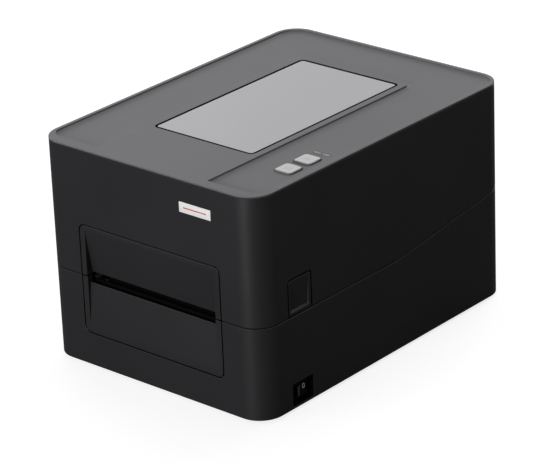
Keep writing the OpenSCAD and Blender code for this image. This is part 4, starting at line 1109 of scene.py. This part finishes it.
@dataclass
class PrintMechanism:
    """Platen, gears, motor, head and the steel that carries them."""

    spring_seat: float = 91 * MM
    spring_keep: float = 0.85

    def build(self) -> None:
        """Finish the mechanism's pieces."""
        dress(["left_side_plate", "right_side_plate", "head_bracket"], SHEET_STEEL)
        dress(["platen_shaft", "motor_shaft", "idler_stud", "head_pivot_pins", "sensor_rail", "hinge_pins"],
              SHAFT_STEEL)
        dress(["idler_gear", "centring_pinion"], GEAR)
        dress(["platen_gear", "platen_bushes"], BLACK_GEAR)
        dress(["platen_roller"], PLATEN)
        dress(["motor_pinion"], BRASS)
        dress(["stepper_motor"], MOTOR)
        dress(["tear_bar"], BLACKENED)
        dress(["print_head"], HEAD)
        dress(["heating_element"], CERAMIC)
        coil_spring("head_springs")


@dataclass
class MediaBay:
    """Tray, roll holders, hubs and the label sensor."""

    def build(self) -> None:
        """Finish the bay's pieces."""
        dress(["media_tray", "lid_inner_frame"], INNER)
        dress(["roll_holder_left", "roll_holder_right", "roll_hub_left", "roll_hub_right"], HOLDER)
        dress(["gap_sensor"], SWITCH)


@dataclass
class Electronics:
    """Boards, sockets and screws."""

    def build(self) -> None:
        """Finish the boards, the sockets and the screws."""
        dress(["main_board", "key_board"], BOARD)
        dress(["dc_jack"], SWITCH)
        dress(["usb_port"], SHEET_STEEL)
        dress(["bezel_screws", "plate_screws", "motor_screws", "tray_screws", "hub_screws_left",
               "hub_screws_right", "pinion_screw", "board_screws", "frame_screws", "key_board_screws"],
              SHEET_STEEL)


# ---------------------------------------------------------------- studio


@dataclass(frozen=True)
class Lamp:
    """One soft square lamp.

    A lamp that isn't on_matt is only mirrored in glossy surfaces.
    """

    name: str
    place: Point
    target: Point
    size: float
    watts: float
    on_matt: bool = True


LAMPS = (
    Lamp("low_left", (-1.6, 0.9, 0.9), (0, 0, 0.15), 1.1, 9.0),
    Lamp("low_rear", (-0.3, 1.7, 0.9), (0, 0, 0.15), 1.1, 12.0),
    Lamp("overhead", (-0.1, 0.4, 1.7), (0, 0, 0.1), 1.2, 10.0),
    Lamp("front_left", (-1.0, -2.0, 0.9), (0, -0.1, 0.1), 1.2, 12.0),
    Lamp("front_strip", (0.4, -2.1, 0.55), (0, -0.1, 0.1), 0.4, 22.0),
    Lamp("corner_glint", (0.22, -2.1, 0.16), (0.09, -0.14, 0.12), 0.25, 20.0, on_matt=False),
)


@dataclass
class Studio:
    """Camera, lamps, floor and backdrop."""

    camera_place: Point = (1.3874, -1.5846, 0.9994)
    camera_right: Point = (0.76092889, 0.64773332, -0.03779905)
    camera_up: Point = (-0.23397988, 0.32827346, 0.91514477)
    lens_mm: float = 197.02
    sensor_mm: float = 36.0
    view_end: float = 50.0
    floor_size: float = 3.6
    floor_colour: Colour = (0.34, 0.34, 0.34)
    floor_bounce: Colour = (0.08, 0.08, 0.08)
    floor_glow: float = 0.8
    fill: float = 0.15

    def build(self) -> None:
        """Set up the view, the light and the ground."""
        self.camera()
        self.floor()
        self.world()
        for lamp in LAMPS:
            self.light(lamp)
        bpy.context.scene.view_settings.view_transform = "Standard"

    def camera(self) -> None:
        """The camera, from its place and its own axes."""
        data = bpy.data.cameras.new("camera")
        data.lens = self.lens_mm
        data.sensor_width = self.sensor_mm
        data.clip_end = self.view_end
        camera = bpy.data.objects.new("camera", data)
        right, up = Vector(self.camera_right), Vector(self.camera_up)
        turn = Matrix((right, up, right.cross(up))).transposed().to_4x4()
        camera.matrix_world = Matrix.Translation(self.camera_place) @ turn
        bpy.context.scene.collection.objects.link(camera)
        bpy.context.scene.camera = camera

    def floor(self) -> None:
        """A wide pale floor that keeps the shadow."""
        bm = bmesh.new()
        bmesh.ops.create_grid(bm, x_segments=4, y_segments=4, size=self.floor_size / 2)
        mesh = bpy.data.meshes.new("floor")
        bm.to_mesh(mesh)
        bm.free()
        floor = bpy.data.objects.new("floor", mesh)
        bpy.context.scene.collection.objects.link(floor)
        material = bpy.data.materials.new("floor_paper")
        material.use_nodes = True
        shader = material.node_tree.nodes["Principled BSDF"]
        sheet = NodeSheet(material.node_tree)
        seen = sheet.add("LightPath").outputs["Is Camera Ray"]
        tone = sheet.add("Mix", data_type="RGBA")
        sheet.join(seen, tone.inputs[0])
        # Inputs 6 and 7 are the colours that the mix goes between.
        tone.inputs[6].default_value = (*self.floor_bounce, 1)
        tone.inputs[7].default_value = (*self.floor_colour, 1)
        sheet.join(tone.outputs[2], shader.inputs["Base Color"])
        shader.inputs["Emission Color"].default_value = (1, 1, 1, 1)
        sheet.join(sheet.maths("MULTIPLY", seen, self.floor_glow), shader.inputs["Emission Strength"])
        shader.inputs["Roughness"].default_value = 0.9
        shader.inputs["Specular IOR Level"].default_value = 0.1
        mesh.materials.append(material)

    def world(self) -> None:
        """Even fill light, with a white backdrop for the camera."""
        world = bpy.data.worlds.new("studio")
        bpy.context.scene.world = world
        world.use_nodes = True
        tree = world.node_tree
        sheet = NodeSheet(tree)
        background = tree.nodes["Background"]
        background.inputs["Color"].default_value = (1, 1, 1, 1)
        path = sheet.add("LightPath")
        seen = sheet.maths("MAXIMUM", path.outputs["Is Camera Ray"], path.outputs["Is Transmission Ray"])
        seen = sheet.maths("MAXIMUM", seen, path.outputs["Is Glossy Ray"])
        sheet.join(sheet.scaled(seen, self.fill, 1.0), background.inputs["Strength"])

    def light(self, lamp: Lamp) -> None:
        """Hang one lamp, unseen by the camera."""
        data = bpy.data.lights.new(lamp.name, "AREA")
        data.shape = "SQUARE"
        data.size = lamp.size
        data.energy = lamp.watts
        light = bpy.data.objects.new(lamp.name, data)
        light.visible_camera = False
        light.visible_diffuse = lamp.on_matt
        aim = Vector(lamp.target) - Vector(lamp.place)
        light.matrix_world = Matrix.Translation(lamp.place) @ aim.to_track_quat("-Z", "Y").to_matrix().to_4x4()
        bpy.context.scene.collection.objects.link(light)


def main() -> None:
    """Build every sub-assembly in order."""
    logging.basicConfig(level=logging.INFO, format="%(name)s: %(message)s")
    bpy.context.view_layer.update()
    for assembly in (Studio(), Housing(), TopDeck(), Badge(), Keypad(), Latches(), PowerSwitch(),
                     PrintMechanism(), MediaBay(), Electronics()):
        log.info("building %s", type(assembly).__name__)
        assembly.build()


if __name__ == "__main__":
    main()
